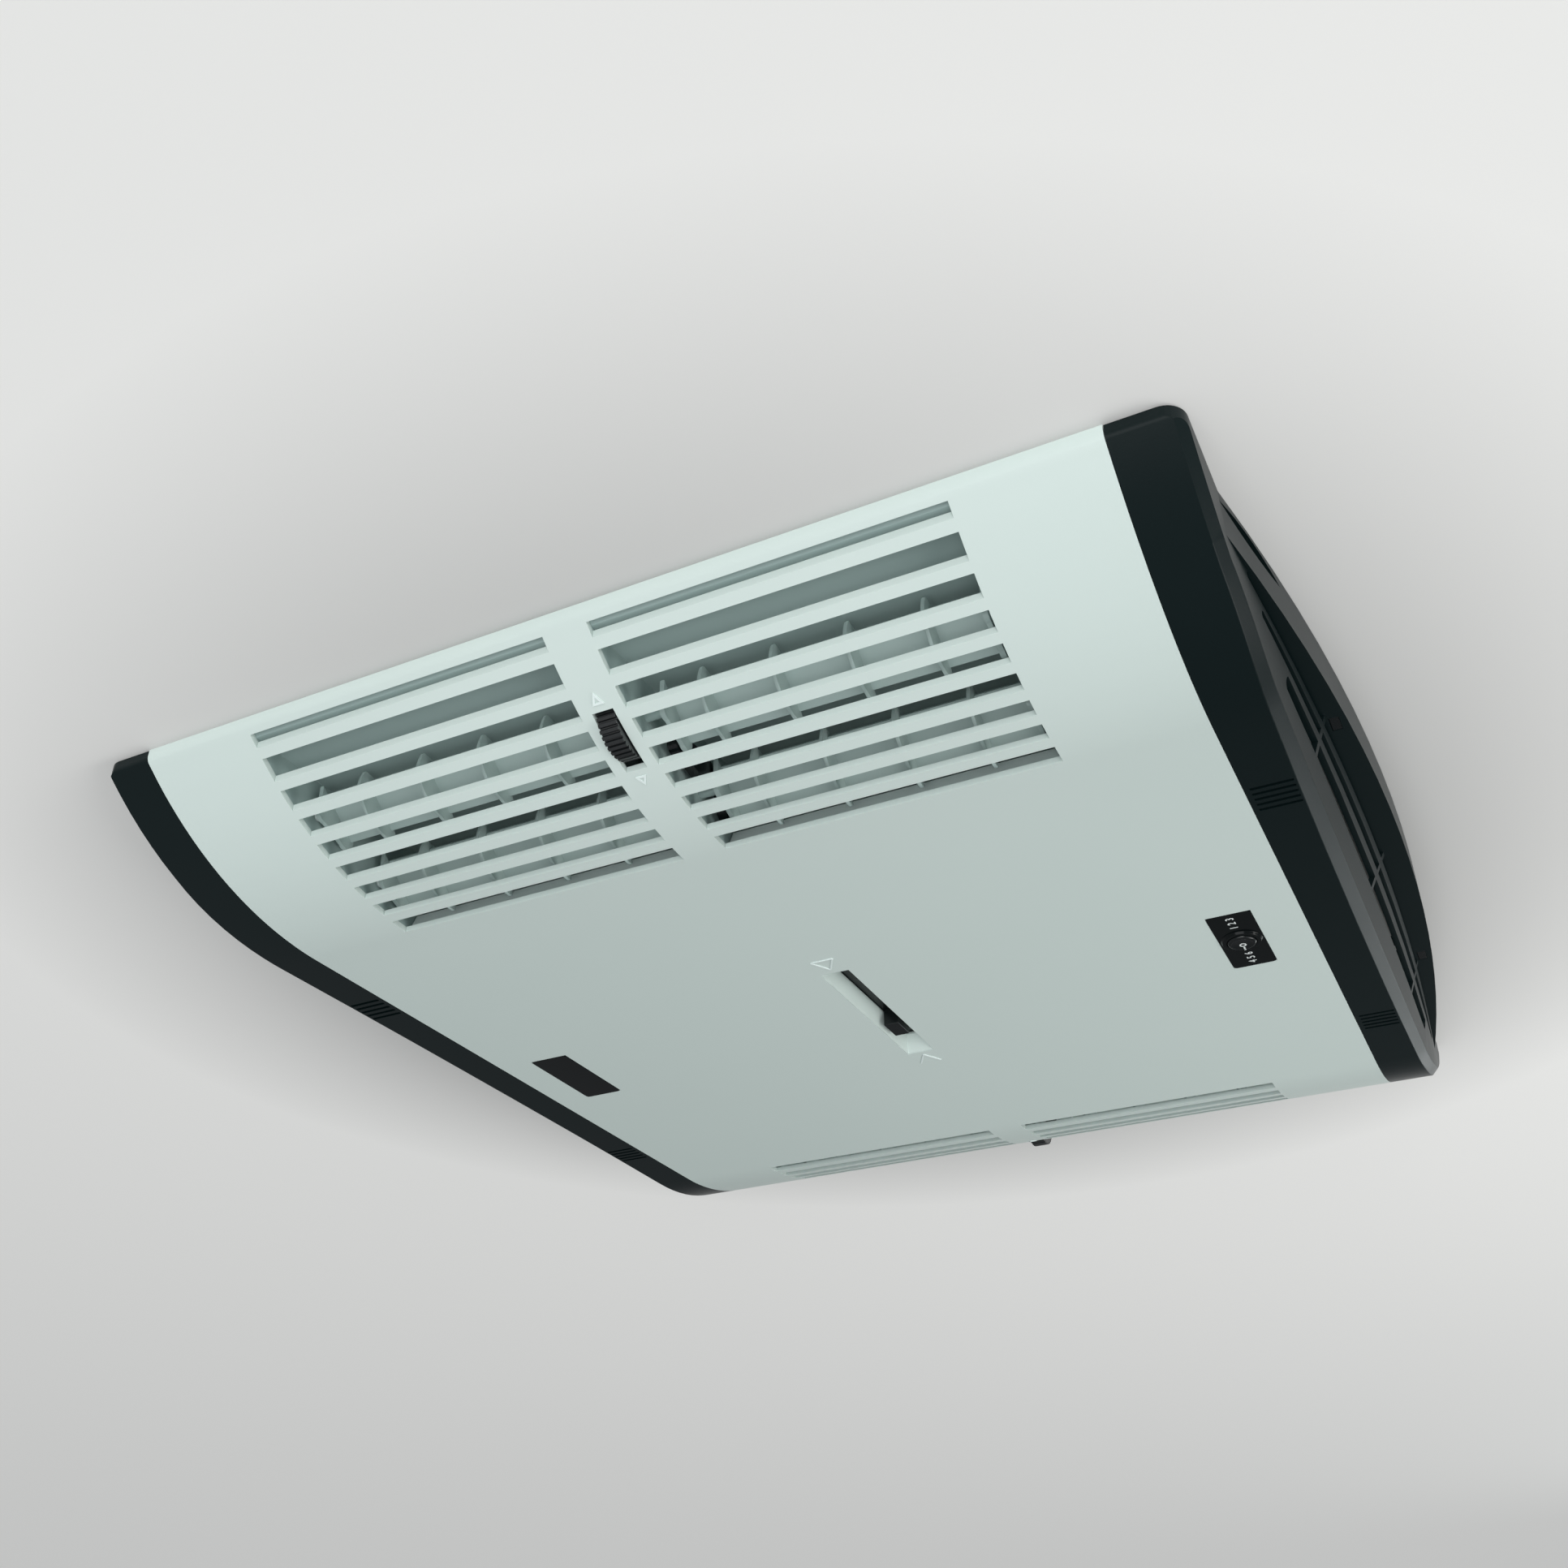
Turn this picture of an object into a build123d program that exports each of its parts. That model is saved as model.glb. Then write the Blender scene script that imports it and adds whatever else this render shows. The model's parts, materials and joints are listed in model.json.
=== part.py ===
from build123d import *
import math
import os

# Ceiling air distributor of a rooftop air conditioner, as installed.
# X to the right, Y to the rear, Z up; the ceiling is the plane z = 0.
os.makedirs("parts", exist_ok=True)

# Cover profile
height = 46.0
half_depth = 278.5
curve_length = 112.0
lip_z = -4.76
skin = 2.5
lip_round = 3.0
seam_x = 201.3
seam_gap = 0.15
slide_gap = 0.3
fit_gap = 0.05
seat_gap = 0.02
overcut = 20.0
edge_reach = 0.2
flat_half = half_depth - curve_length
curve_rise = height + lip_z
arc_radius = (curve_length ** 2 + curve_rise ** 2) / (2 * curve_rise)

# Outlet cells and slots, each slot as its two distances in from the end of the cover
cell_inner = 9.4
cell_outer = 148.0
slot_insets = [(2.9, 7.6), (11.4, 20.0), (23.8, 32.0), (36.0, 44.1), (48.3, 56.1),
               (60.5, 68.1), (72.9, 80.5), (85.3, 93.2), (98.6, 107.9)]
slots = [(half_depth - outer, half_depth - inner) for outer, inner in slot_insets]
wheel_window_inset = 30.6
wheel_window_length = 25.2
wheel_window_end = half_depth - wheel_window_inset
wheel_window = (wheel_window_end - wheel_window_length, wheel_window_end)
wheel_window_half = 4.5

# Sloping sill behind the last slot, as distances in from the end of the cover and heights
sill_points = [(109.6, -44.2), (113.0, -36.0), (115.0, -36.0), (112.4, -44.2)]

# Lever recess
recess_width = 13.9
recess_length = 101.4
recess_depth = 8.4
slit_width = 8.4
slit_length = 85.6
slit_corner = 1.0
recess_wall = 2.0

# Control plates
plate_inset = 29.1
plate_x = seam_x - plate_inset
knob_y = -0.5
knob_plate_width = 19.3
knob_plate_length = 53.1
window_width = 20.9
window_length = 53.0
plate_corner = 2.0
plate_proud = 0.2
plate_flange = 2.0
plate_flange_thick = 1.5
plate_fit = 0.1

# Boards on their posts
board_shift = 0.8
board_x = plate_x + board_shift
board_width = 40.0
board_length = 112.0
board_low_z = -30.0
board_thick = 1.6
post_spacing_x = 32.0
post_spacing_y = 100.0
post_radius = 3.0
post_bore = 1.25
board_hole = 1.5
board_screw_head = 2.4
board_screw_head_high = 1.6
board_screw_depth = 8.0

# Cover fixing tabs
tab_overhang = 4.7
tab_length = 16.0
tab_x = seam_x + tab_overhang
tab_y = 70.0
tab_low_z = -41.0
tab_thick = 2.0
tab_width = 16.0
tab_reach = 6.0
tab_root_x = tab_x - tab_length
tab_web = 10.0
tab_hole = 1.9
pillar_radius = 5.0
pillar_bore = 1.6
cover_screw_head = 3.6
cover_screw_head_high = 1.8
cover_screw_length = 20.0

# Base frame
frame_top_z = -2.0
frame_thick = 3.0
frame_overhang = 20.7
frame_inset = 6.5
frame_half_x = seam_x + frame_overhang
frame_half_y = half_depth - frame_inset
frame_corner = 6.0
supply_x = 280.0
supply_y = 120.0
return_x = board_x
return_width = 40.0
return_y = 78.0
return_length = 144.0
bolt_shift = 1.0
bolt_inset = 93.5
bolt_x = board_x - bolt_shift
bolt_y = half_depth - bolt_inset
bolt_hole = 3.3
boss_radius = 9.0
boss_high = 4.0
notch_start_gap = 0.7
notch_start = seam_x + notch_start_gap
runner_y = 145.0
notch_width = 4.0

# Collar, seal and gasket
collar_rise = 32.0
collar_wall = 2.0
collar_fit = 0.2
collar_flange = 6.0
collar_flange_thick = 1.5
seal_thick = 8.0
seal_high = 10.0
gasket_width = 10.0
gasket_end_margin = 26.0
gasket_side_margin = 10.0
gasket_end_y = frame_half_y - gasket_width / 2
gasket_end_length = 2 * (frame_half_x - gasket_end_margin)
gasket_side_x = frame_half_x - gasket_side_margin
gasket_side_length = 108.0
gasket_side_y = 190.0
gasket_mid_length = 240.0

# Air duct parts
duct_wall = 2.5
centre_wall = 2.0
duct_roof = 1.5
housing_inset = 3.5
housing_length = 115.0
housing_front_y = half_depth - housing_inset
housing_back_y = housing_front_y - housing_length
plenum_half_y = housing_back_y - slide_gap
ledge_width = 3.0
ledge_half_y = 72.0
ledge_top_z = -30.3
ledge_thick = 2.0
diverter_low_z = -30.0
diverter_top_z = -9.0
diverter_half_y = 30.0
diverter_half_x = cell_outer - 2 * slide_gap
diverter_wall = 1.5

# Slider
lever_y = 20.0
lever_width = 7.6
lever_length = 13.9
shield_half_x = 12.0
shield_half_y = 80.0
shield_low_z = -37.3
shield_thick = 1.5
guide_width = 4.0
guide_lip = 2.5
guide_top_z = -33.0
guide_half_y = 118.0

# Louvres, with points given from the pivot in the front group
pivot_radius = 2.0
upper_pivot_inset = 46.1
lower_pivot_inset = 87.5
upper_pivot = (upper_pivot_inset - half_depth, -21.4)
lower_pivot = (lower_pivot_inset - half_depth, -31.9)
strip_start = (-4.4, 11.3)
strip_end = (16.3, -5.1)
strip_thick = 1.8
crank = (14.1, -5.4)
fin_points = [(-4.4, 11.3), (-5.9, 3.1), (-2.6, -1.1), (1.5, -5.0), (6.7, -7.6), (11.1, -8.7),
              (17.1, -9.9), (21.5, -9.4), (18.2, -4.4), (10.4, 3.6), (4.2, 12.4), (0.0, 12.9)]
fin_x = [34.6, 64.1, 93.5, 123.0]
fin_thick = 1.5
ear_radius = 4.0
crank_radius = 3.6
ear_thick = 2.0
blade_margin = 2.5
pin_seat = 2.0
blade_outer_x = cell_outer - blade_margin
left_blade_inner_x = 12.0
right_blade_inner_x = 17.0
pin_end_x = cell_outer + pin_seat
wheel_radius = 14.2
wheel_half_x = 4.0
wheel_grooves = 36
wheel_groove_radius = 0.75

# Link bar, with points given along and across the line between its two eyes
bar_inner_x = 12.3
bar_outer_x = 16.3
bar_eye_radius = 4.2
bar_points = [(-3.0, 2.9), (8.0, 7.6), (20.0, 10.2), (31.0, 9.6), (45.4, 3.2), (40.2, -3.4),
              (35.2, -1.0), (33.4, 3.4), (29.8, 5.8), (25.4, 5.8), (23.4, 2.0), (22.4, -1.6),
              (12.0, -1.8), (1.4, -4.0)]
bar_loose_gap = 0.5

# Control knob
knob_radius = 6.2
knob_proud = 2.2
knob_round = 0.5
ring_outer = 8.9
ring_inner = 6.6
ring_high = 1.1
shaft_radius = 3.0
shaft_top_z = -33.0
pot_size = 16.0
pot_low_z = -38.0

# End caps
cap_top_z = -0.4
cap_overhang = 24.7
cap_corner_length = 45.5
cap_corner = 8.0
cap_end_x = seam_x + cap_overhang
cap_arc_half = half_depth - cap_corner_length
wall_low_bulge = -2.7
wall_high_bulge = 11.0
rim_bulge = 20.1
shelf_z = -19.4
cap_bevel = 3.5
return_slots = [(-34.6, -29.8, 164.0), (-27.2, -24.5, 197.0), (-21.9, -19.4, 213.0)]
slot_divider_y = 115.0
slot_divider = 3.0
clip_y = 109.0
clip_hole_length = 9.0
clip_hole_width = 3.8
clip_hole_start = 9.2
clip_hole_x = (cap_end_x + clip_hole_start, cap_end_x + clip_hole_start + clip_hole_width)
lens_inset = 71.5
lens_y = half_depth - lens_inset
lens_half = 27.0
lens_z = -4.8
lens_half_high = 2.6
grip_y = 113.0
grip_spacing = 4.0
grip_count = 5
grip_width = 1.8
grip_depth = 0.7
grip_margin = 4.5
grip_end_x = cap_end_x - grip_margin
runner_margin = 2.7
runner_overhang = 11.6
runner_start = seam_x + runner_margin
runner_end = cap_end_x + runner_overhang
runner_stem = 3.0
runner_foot_z = -9.0
runner_cap_low_z = -1.7
runner_cap_width = 12.0
filter_inset_x = 10.0
filter_inset_y = 88.5
filter_x = cap_end_x - filter_inset_x
filter_thick = 6.0
filter_half_y = half_depth - filter_inset_y
filter_top_z = -19.0
filter_border = 4.0
filter_mat_thick = 1.7
filter_fit = 0.3
rib_thick = 1.5
rib_high = 5.5
rib_length = 8.0
rib_spacing = 120.0

# Sensor
sensor_shift = 13.8
sensor_at = (plate_x + sensor_shift, 96.0)
sensor_radius = 2.5
sensor_high = 20.0
sensor_foot = 10.0
sensor_foot_high = 2.0

arc_centre_z = arc_radius - height
floor_z = -height + skin
frame_low_z = frame_top_z - frame_thick
panel_half_x = seam_x - seam_gap
cap_start_x = seam_x + seam_gap
cell_width = cell_outer - cell_inner
cell_x = (cell_outer + cell_inner) / 2
recess_top_z = -height + recess_depth


def save(node, name):
    node.part.label = name
    export_step(node.part, f"parts/{name}.step")


def mirrored(node, plane):
    with BuildPart() as copy:
        add(mirror(node.part, about=plane, mode=Mode.PRIVATE))
    return copy


def profile_face(inset, top_z):
    # Section across X of everything above the visible face
    radius = arc_radius - inset
    wall_y = half_depth - inset
    end_angle = math.asin((wall_y - flat_half) / radius)
    mid_y = flat_half + radius * math.sin(end_angle / 2)
    mid_z = arc_centre_z - radius * math.cos(end_angle / 2)
    end_z = arc_centre_z - radius * math.cos(end_angle)
    low_z = -height + inset
    with BuildSketch() as face:
        with BuildLine():
            Line((-wall_y, top_z), (-wall_y, end_z))
            ThreePointArc((-wall_y, end_z), (-mid_y, mid_z), (-flat_half, low_z))
            Line((-flat_half, low_z), (flat_half, low_z))
            ThreePointArc((flat_half, low_z), (mid_y, mid_z), (wall_y, end_z))
            Line((wall_y, end_z), (wall_y, top_z))
            Line((wall_y, top_z), (-wall_y, top_z))
        make_face()
    return face.sketch


def round_lips(part, radius):
    low, high = lip_z - edge_reach, lip_z + edge_reach
    lips = part.edges().filter_by(Axis.X).filter_by_position(Axis.Z, low, high)
    fillet(lips, radius)


def box_between(x_span, y_span, z_span, mode=Mode.ADD):
    middle = [(span[0] + span[1]) / 2 for span in (x_span, y_span, z_span)]
    sizes = [abs(span[1] - span[0]) for span in (x_span, y_span, z_span)]
    with Locations(tuple(middle)):
        Box(*sizes, mode=mode)


# Cover panel with the outlet slots, lever recess, control openings, posts and fixing tabs
with BuildPart() as cover_panel:
    with BuildSketch(Plane.YZ.offset(-panel_half_x)):
        add(profile_face(0.0, 0.0))
    extrude(amount=2 * panel_half_x)
    round_lips(cover_panel, lip_round)
    with BuildSketch(Plane.YZ.offset(-panel_half_x)):
        add(profile_face(skin, overcut))
    extrude(amount=2 * panel_half_x, mode=Mode.SUBTRACT)
    for slot_outer, slot_inner in slots:
        with BuildSketch(Plane.XY.offset(-height)):
            slot_y = (slot_outer + slot_inner) / 2
            with GridLocations(2 * cell_x, 2 * slot_y, 2, 2):
                Rectangle(cell_width, slot_outer - slot_inner)
        extrude(amount=height + overcut, mode=Mode.SUBTRACT)
    for hand in (-1, 1):
        sill_low_x = min(hand * (cell_inner + slide_gap), hand * (cell_outer - slide_gap))
        for side in (-1, 1):
            with BuildSketch(Plane.YZ.offset(sill_low_x)):
                with BuildLine():
                    Polyline(*[(side * (half_depth - inset), sill_z) for inset, sill_z in sill_points],
                             close=True)
                make_face()
            extrude(amount=cell_width - 2 * slide_gap)
    with BuildSketch(Plane.XY.offset(-height)):
        window_mid = (wheel_window[0] + wheel_window[1]) / 2
        with GridLocations(0, 2 * window_mid, 1, 2):
            Rectangle(2 * wheel_window_half, wheel_window[1] - wheel_window[0])
    extrude(amount=height, mode=Mode.SUBTRACT)
    box_between((-recess_width / 2 - recess_wall, recess_width / 2 + recess_wall),
                (-recess_length / 2 - recess_wall, recess_length / 2 + recess_wall),
                (floor_z, recess_top_z))
    with BuildSketch(Plane.XY.offset(-height)):
        RectangleRounded(recess_width, recess_length, plate_corner)
    with BuildSketch(Plane.XY.offset(recess_top_z)):
        RectangleRounded(slit_width, slit_length, slit_corner)
    loft(mode=Mode.SUBTRACT)
    with BuildSketch(Plane.XY.offset(-height)):
        with Locations((plate_x, 0)):
            RectangleRounded(knob_plate_width, knob_plate_length, plate_corner)
        with Locations((-plate_x, 0)):
            RectangleRounded(window_width, window_length, plate_corner)
    extrude(amount=skin, mode=Mode.SUBTRACT)
    for hand in (-1, 1):
        with BuildSketch(Plane.XY.offset(floor_z)):
            with Locations((hand * board_x, 0)):
                with GridLocations(post_spacing_x, post_spacing_y, 2, 2):
                    Circle(post_radius)
        extrude(amount=board_low_z - floor_z)
        with BuildSketch(Plane.XY.offset(board_low_z)):
            with Locations((hand * board_x, 0)):
                with GridLocations(post_spacing_x, post_spacing_y, 2, 2):
                    Circle(post_bore)
        extrude(amount=-board_screw_depth - board_screw_head_high, mode=Mode.SUBTRACT)
        for side in (-1, 1):
            tab_span_y = (side * tab_y - tab_width / 2, side * tab_y + tab_width / 2)
            tab_end = hand * (tab_x + tab_reach)
            box_between(sorted((hand * tab_root_x, tab_end)), tab_span_y,
                        (tab_low_z, tab_low_z + tab_thick))
            box_between(sorted((hand * tab_root_x, hand * (tab_root_x + tab_web))), tab_span_y,
                        (floor_z, tab_low_z))
    with BuildSketch(Plane.XY.offset(tab_low_z)):
        with GridLocations(2 * tab_x, 2 * tab_y, 2, 2):
            Circle(tab_hole)
    extrude(amount=tab_thick, mode=Mode.SUBTRACT)
save(cover_panel, "cover_panel")

# Base frame that lies against the ceiling and carries everything else
with BuildPart() as base_frame:
    with BuildSketch(Plane.XY.offset(frame_low_z)):
        RectangleRounded(2 * frame_half_x, 2 * frame_half_y, frame_corner)
        Rectangle(supply_x, supply_y, mode=Mode.SUBTRACT)
        with GridLocations(2 * return_x, 2 * return_y, 2, 2):
            RectangleRounded(return_width, return_length, frame_corner, mode=Mode.SUBTRACT)
        for hand in (-1, 1):
            with Locations((hand * (notch_start + frame_half_x + overcut) / 2, 0)):
                with GridLocations(0, 2 * runner_y, 1, 2):
                    Rectangle(frame_half_x + overcut - notch_start, notch_width,
                              mode=Mode.SUBTRACT)
    extrude(amount=frame_thick)
    with BuildSketch(Plane.XY.offset(frame_low_z - boss_high)):
        with GridLocations(2 * bolt_x, 2 * bolt_y, 2, 2):
            Circle(boss_radius)
    extrude(amount=boss_high - frame_low_z)
    with BuildSketch(Plane.XY.offset(frame_low_z - boss_high)):
        with GridLocations(2 * bolt_x, 2 * bolt_y, 2, 2):
            Circle(bolt_hole)
    extrude(amount=boss_high - frame_low_z, mode=Mode.SUBTRACT)
    pillar_low_z = tab_low_z + tab_thick
    with BuildSketch(Plane.XY.offset(pillar_low_z)):
        with GridLocations(2 * tab_x, 2 * tab_y, 2, 2):
            Circle(pillar_radius)
    extrude(amount=frame_low_z - pillar_low_z)
    with BuildSketch(Plane.XY.offset(pillar_low_z)):
        with GridLocations(2 * tab_x, 2 * tab_y, 2, 2):
            Circle(pillar_bore)
    extrude(amount=cover_screw_length, mode=Mode.SUBTRACT)
save(base_frame, "base_frame")

# Duct collar that reaches up into the roof opening
with BuildPart() as duct_collar:
    collar_x = supply_x - 2 * collar_fit
    collar_y = supply_y - 2 * collar_fit
    with BuildSketch(Plane.XY.offset(frame_low_z)):
        Rectangle(collar_x, collar_y)
    extrude(amount=collar_rise - frame_low_z)
    with BuildSketch(Plane.XY.offset(frame_top_z)):
        RectangleRounded(collar_x + 2 * collar_flange, collar_y + 2 * collar_flange, plate_corner)
    extrude(amount=collar_flange_thick)
    with BuildSketch(Plane.XY.offset(frame_low_z)):
        Rectangle(collar_x - 2 * collar_wall, collar_y - 2 * collar_wall)
    extrude(amount=collar_rise - frame_low_z, mode=Mode.SUBTRACT)
save(duct_collar, "duct_collar")

# Foam band round the top of the collar
with BuildPart() as collar_seal:
    with BuildSketch(Plane.XY.offset(collar_rise - seal_high)):
        RectangleRounded(collar_x + 2 * seal_thick, collar_y + 2 * seal_thick, frame_corner)
        Rectangle(collar_x + 2 * seat_gap, collar_y + 2 * seat_gap, mode=Mode.SUBTRACT)
    extrude(amount=seal_high)
save(collar_seal, "collar_seal")

# Foam strips between the base frame and the ceiling
with BuildPart() as ceiling_gasket:
    with BuildSketch(Plane.XY.offset(frame_top_z)):
        with GridLocations(0, 2 * gasket_end_y, 1, 2):
            Rectangle(gasket_end_length, gasket_width)
        with GridLocations(2 * gasket_side_x, 2 * gasket_side_y, 2, 2):
            Rectangle(gasket_width, gasket_side_length / 2)
        with GridLocations(2 * gasket_side_x, 0, 2, 1):
            Rectangle(gasket_width, gasket_mid_length)
    extrude(amount=-frame_top_z)
save(ceiling_gasket, "ceiling_gasket")

# Front outlet housing: end walls, middle walls and roof, cut to the inside of the cover
with BuildPart() as front_housing:
    housing_y = (-housing_front_y, -housing_back_y)
    outer_x = cell_outer + duct_wall
    box_between((-outer_x, outer_x), housing_y, (-height, frame_low_z))
    for hand in (-1, 1):
        cell_span = sorted((hand * cell_inner, hand * cell_outer))
        box_between(cell_span, (-half_depth - overcut, 0), (-height, frame_low_z - duct_roof),
                    Mode.SUBTRACT)
    middle_half = cell_inner - centre_wall
    box_between((-middle_half, middle_half), (-half_depth - overcut, 0),
                (-height, frame_low_z - duct_roof), Mode.SUBTRACT)
    with BuildSketch(Plane.YZ.offset(-outer_x)):
        add(profile_face(skin, 0.0))
    extrude(amount=2 * outer_x, mode=Mode.INTERSECT)
    with BuildSketch(Plane.YZ.offset(-outer_x)):
        with Locations(upper_pivot, lower_pivot):
            Circle(pivot_radius + fit_gap)
    extrude(amount=2 * outer_x, mode=Mode.SUBTRACT)
save(front_housing, "front_housing")
rear_housing = mirrored(front_housing, Plane.XZ)
save(rear_housing, "rear_housing")

# Air plenum between the two housings, with ledges for the diverter
with BuildPart() as air_plenum:
    box_between((-outer_x, outer_x), (-plenum_half_y, plenum_half_y), (floor_z, frame_low_z))
    box_between((-cell_outer, cell_outer), (-half_depth, half_depth),
                (floor_z, frame_low_z - duct_roof), Mode.SUBTRACT)
    for hand in (-1, 1):
        ledge_span = sorted((hand * (cell_outer - ledge_width), hand * cell_outer))
        box_between(ledge_span, (-ledge_half_y, ledge_half_y),
                    (ledge_top_z - ledge_thick, ledge_top_z))
    box_between((-collar_x / 2 + collar_wall, collar_x / 2 - collar_wall),
                (-collar_y / 2 + collar_wall, collar_y / 2 - collar_wall),
                (frame_low_z - duct_roof, frame_low_z), Mode.SUBTRACT)
save(air_plenum, "air_plenum")

# Air diverter, a hollow ridge that slides under the collar
with BuildPart() as air_diverter:
    with BuildSketch(Plane.YZ.offset(-diverter_half_x)):
        with BuildLine():
            Polyline((lever_y - diverter_half_y, diverter_low_z),
                     (lever_y + diverter_half_y, diverter_low_z),
                     (lever_y, diverter_top_z), close=True)
        make_face()
        inner_low = diverter_low_z + diverter_wall
        inner_half = diverter_half_y - 4 * diverter_wall
        with BuildLine():
            Polyline((lever_y - inner_half, inner_low), (lever_y + inner_half, inner_low),
                     (lever_y, diverter_top_z - 2 * diverter_wall), close=True)
        make_face(mode=Mode.SUBTRACT)
    extrude(amount=2 * diverter_half_x)
save(air_diverter, "air_diverter")

# Lever with its finger tip and the post that carries the diverter
with BuildPart() as slider_lever:
    lever_span = (lever_y - lever_length / 2, lever_y + lever_length / 2)
    box_between((-lever_width / 2, lever_width / 2), lever_span, (-height, diverter_low_z))
    tip_edges = slider_lever.faces().sort_by(Axis.Z)[0].edges()
    fillet(tip_edges, lip_round / 4)
save(slider_lever, "slider_lever")

# Sliding shield that keeps the slit closed
with BuildPart() as slider_shield:
    with BuildSketch(Plane.XY.offset(shield_low_z)):
        with Locations((0, lever_y)):
            Rectangle(2 * shield_half_x, 2 * shield_half_y)
            Rectangle(lever_width + 2 * seat_gap, lever_length + 2 * seat_gap,
                      mode=Mode.SUBTRACT)
    extrude(amount=shield_thick)
save(slider_shield, "slider_shield")

# Two guide rails that hold the shield down on the recess
with BuildPart() as slider_guides:
    for hand in (-1, 1):
        rail_inner = shield_half_x + slide_gap
        rail_span = sorted((hand * rail_inner, hand * (rail_inner + guide_width)))
        box_between(rail_span, (-guide_half_y, guide_half_y), (floor_z, guide_top_z))
        lip_span = sorted((hand * (rail_inner - guide_lip), hand * rail_inner))
        box_between(lip_span, (-guide_half_y, guide_half_y),
                    (shield_low_z + shield_thick + slide_gap, guide_top_z))
save(slider_guides, "slider_guides")


def blade(hand, pivot, inner_x, has_crank):
    # One strip carrying four fins, with an ear at each end
    strip_angle = math.atan2(strip_end[1] - strip_start[1], strip_end[0] - strip_start[0])
    lift = (-strip_thick * math.sin(strip_angle), strip_thick * math.cos(strip_angle))
    strip_points = [strip_start, strip_end,
                    (strip_end[0] + lift[0], strip_end[1] + lift[1]),
                    (strip_start[0] + lift[0], strip_start[1] + lift[1])]
    ear_points = [strip_start, strip_end, (crank[0], crank[1] - crank_radius),
                  (0.0, -ear_radius), (-ear_radius, 0.0)]
    outer_ear_x = blade_outer_x - ear_thick
    pieces = [(strip_points, inner_x, blade_outer_x),
              (ear_points, inner_x, inner_x + ear_thick),
              (ear_points, outer_ear_x, blade_outer_x)]
    for fin in fin_x:
        pieces.append((fin_points, fin - fin_thick / 2, fin + fin_thick / 2))
    with BuildPart() as result:
        for points, start_x, end_x in pieces:
            low_x = min(hand * start_x, hand * end_x)
            with BuildSketch(Plane.YZ.offset(low_x)):
                with BuildLine():
                    Polyline(*[(pivot[0] + dy, pivot[1] + dz) for dy, dz in points], close=True)
                make_face()
                if points is ear_points:
                    with Locations(pivot):
                        Circle(ear_radius)
                    with Locations((pivot[0] + crank[0], pivot[1] + crank[1])):
                        Circle(crank_radius)
            extrude(amount=end_x - start_x)
        if has_crank:
            with BuildSketch(Plane.YZ.offset(bar_inner_x - slide_gap)):
                with Locations((pivot[0] + crank[0], pivot[1] + crank[1])):
                    Circle(pivot_radius)
            extrude(amount=inner_x + slide_gap - bar_inner_x)
        with BuildSketch(Plane.YZ.offset(min(hand * inner_x, hand * blade_outer_x))):
            with Locations(pivot):
                Circle(pivot_radius + seat_gap)
        extrude(amount=blade_outer_x - inner_x, mode=Mode.SUBTRACT)
    return result


def rods(pivot, spans):
    # Round rods on one louvre axis
    with BuildPart() as result:
        for start_x, end_x in spans:
            with BuildSketch(Plane.YZ.offset(start_x)):
                with Locations(pivot):
                    Circle(pivot_radius)
            extrude(amount=end_x - start_x)
    return result


# Louvre blades, axles and outer pivot pins
for level, pivot in (("upper", upper_pivot), ("lower", lower_pivot)):
    right_blade = blade(1, pivot, right_blade_inner_x, True)
    save(right_blade, f"front_{level}_blade_right")
    save(mirrored(right_blade, Plane.XZ), f"rear_{level}_blade_right")
    left_blade = blade(-1, pivot, left_blade_inner_x, False)
    save(left_blade, f"front_{level}_blade_left")
    save(mirrored(left_blade, Plane.XZ), f"rear_{level}_blade_left")
    axle = rods(pivot, [(-left_blade_inner_x - ear_thick, right_blade_inner_x + ear_thick)])
    save(axle, f"front_{level}_axle")
    save(mirrored(axle, Plane.XZ), f"rear_{level}_axle")
    pins = rods(pivot, [(blade_outer_x - ear_thick, pin_end_x),
                        (-pin_end_x, -blade_outer_x + ear_thick)])
    save(pins, f"front_{level}_pins")
    save(mirrored(pins, Plane.XZ), f"rear_{level}_pins")

# Knurled thumbwheel on the upper axle
with BuildPart() as front_wheel:
    with BuildSketch(Plane.YZ.offset(-wheel_half_x)):
        with Locations(upper_pivot):
            Circle(wheel_radius)
            Circle(pivot_radius + seat_gap, mode=Mode.SUBTRACT)
            with PolarLocations(wheel_radius, wheel_grooves):
                Circle(wheel_groove_radius, mode=Mode.SUBTRACT)
    extrude(amount=2 * wheel_half_x)
save(front_wheel, "front_wheel")
save(mirrored(front_wheel, Plane.XZ), "rear_wheel")

# Link bar between the crank pins of both blades, arched over the lower axle
with BuildPart() as front_link_bar:
    upper_eye = (upper_pivot[0] + crank[0], upper_pivot[1] + crank[1])
    lower_eye = (lower_pivot[0] + crank[0], lower_pivot[1] + crank[1])
    eye_gap = math.hypot(lower_eye[0] - upper_eye[0], lower_eye[1] - upper_eye[1])
    along = ((lower_eye[0] - upper_eye[0]) / eye_gap, (lower_eye[1] - upper_eye[1]) / eye_gap)
    outline = [(upper_eye[0] + along[0] * point[0] - along[1] * point[1],
                upper_eye[1] + along[1] * point[0] + along[0] * point[1])
               for point in bar_points]
    with BuildSketch(Plane.YZ.offset(bar_inner_x)):
        with BuildLine():
            Polyline(*outline, close=True)
        make_face()
        with Locations(upper_eye, lower_eye):
            Circle(bar_eye_radius)
        with Locations(upper_eye):
            Circle(pivot_radius + fit_gap, mode=Mode.SUBTRACT)
        with Locations(lower_eye):
            Circle(pivot_radius + bar_loose_gap, mode=Mode.SUBTRACT)
    extrude(amount=bar_outer_x - bar_inner_x)
save(front_link_bar, "front_link_bar")
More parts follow.
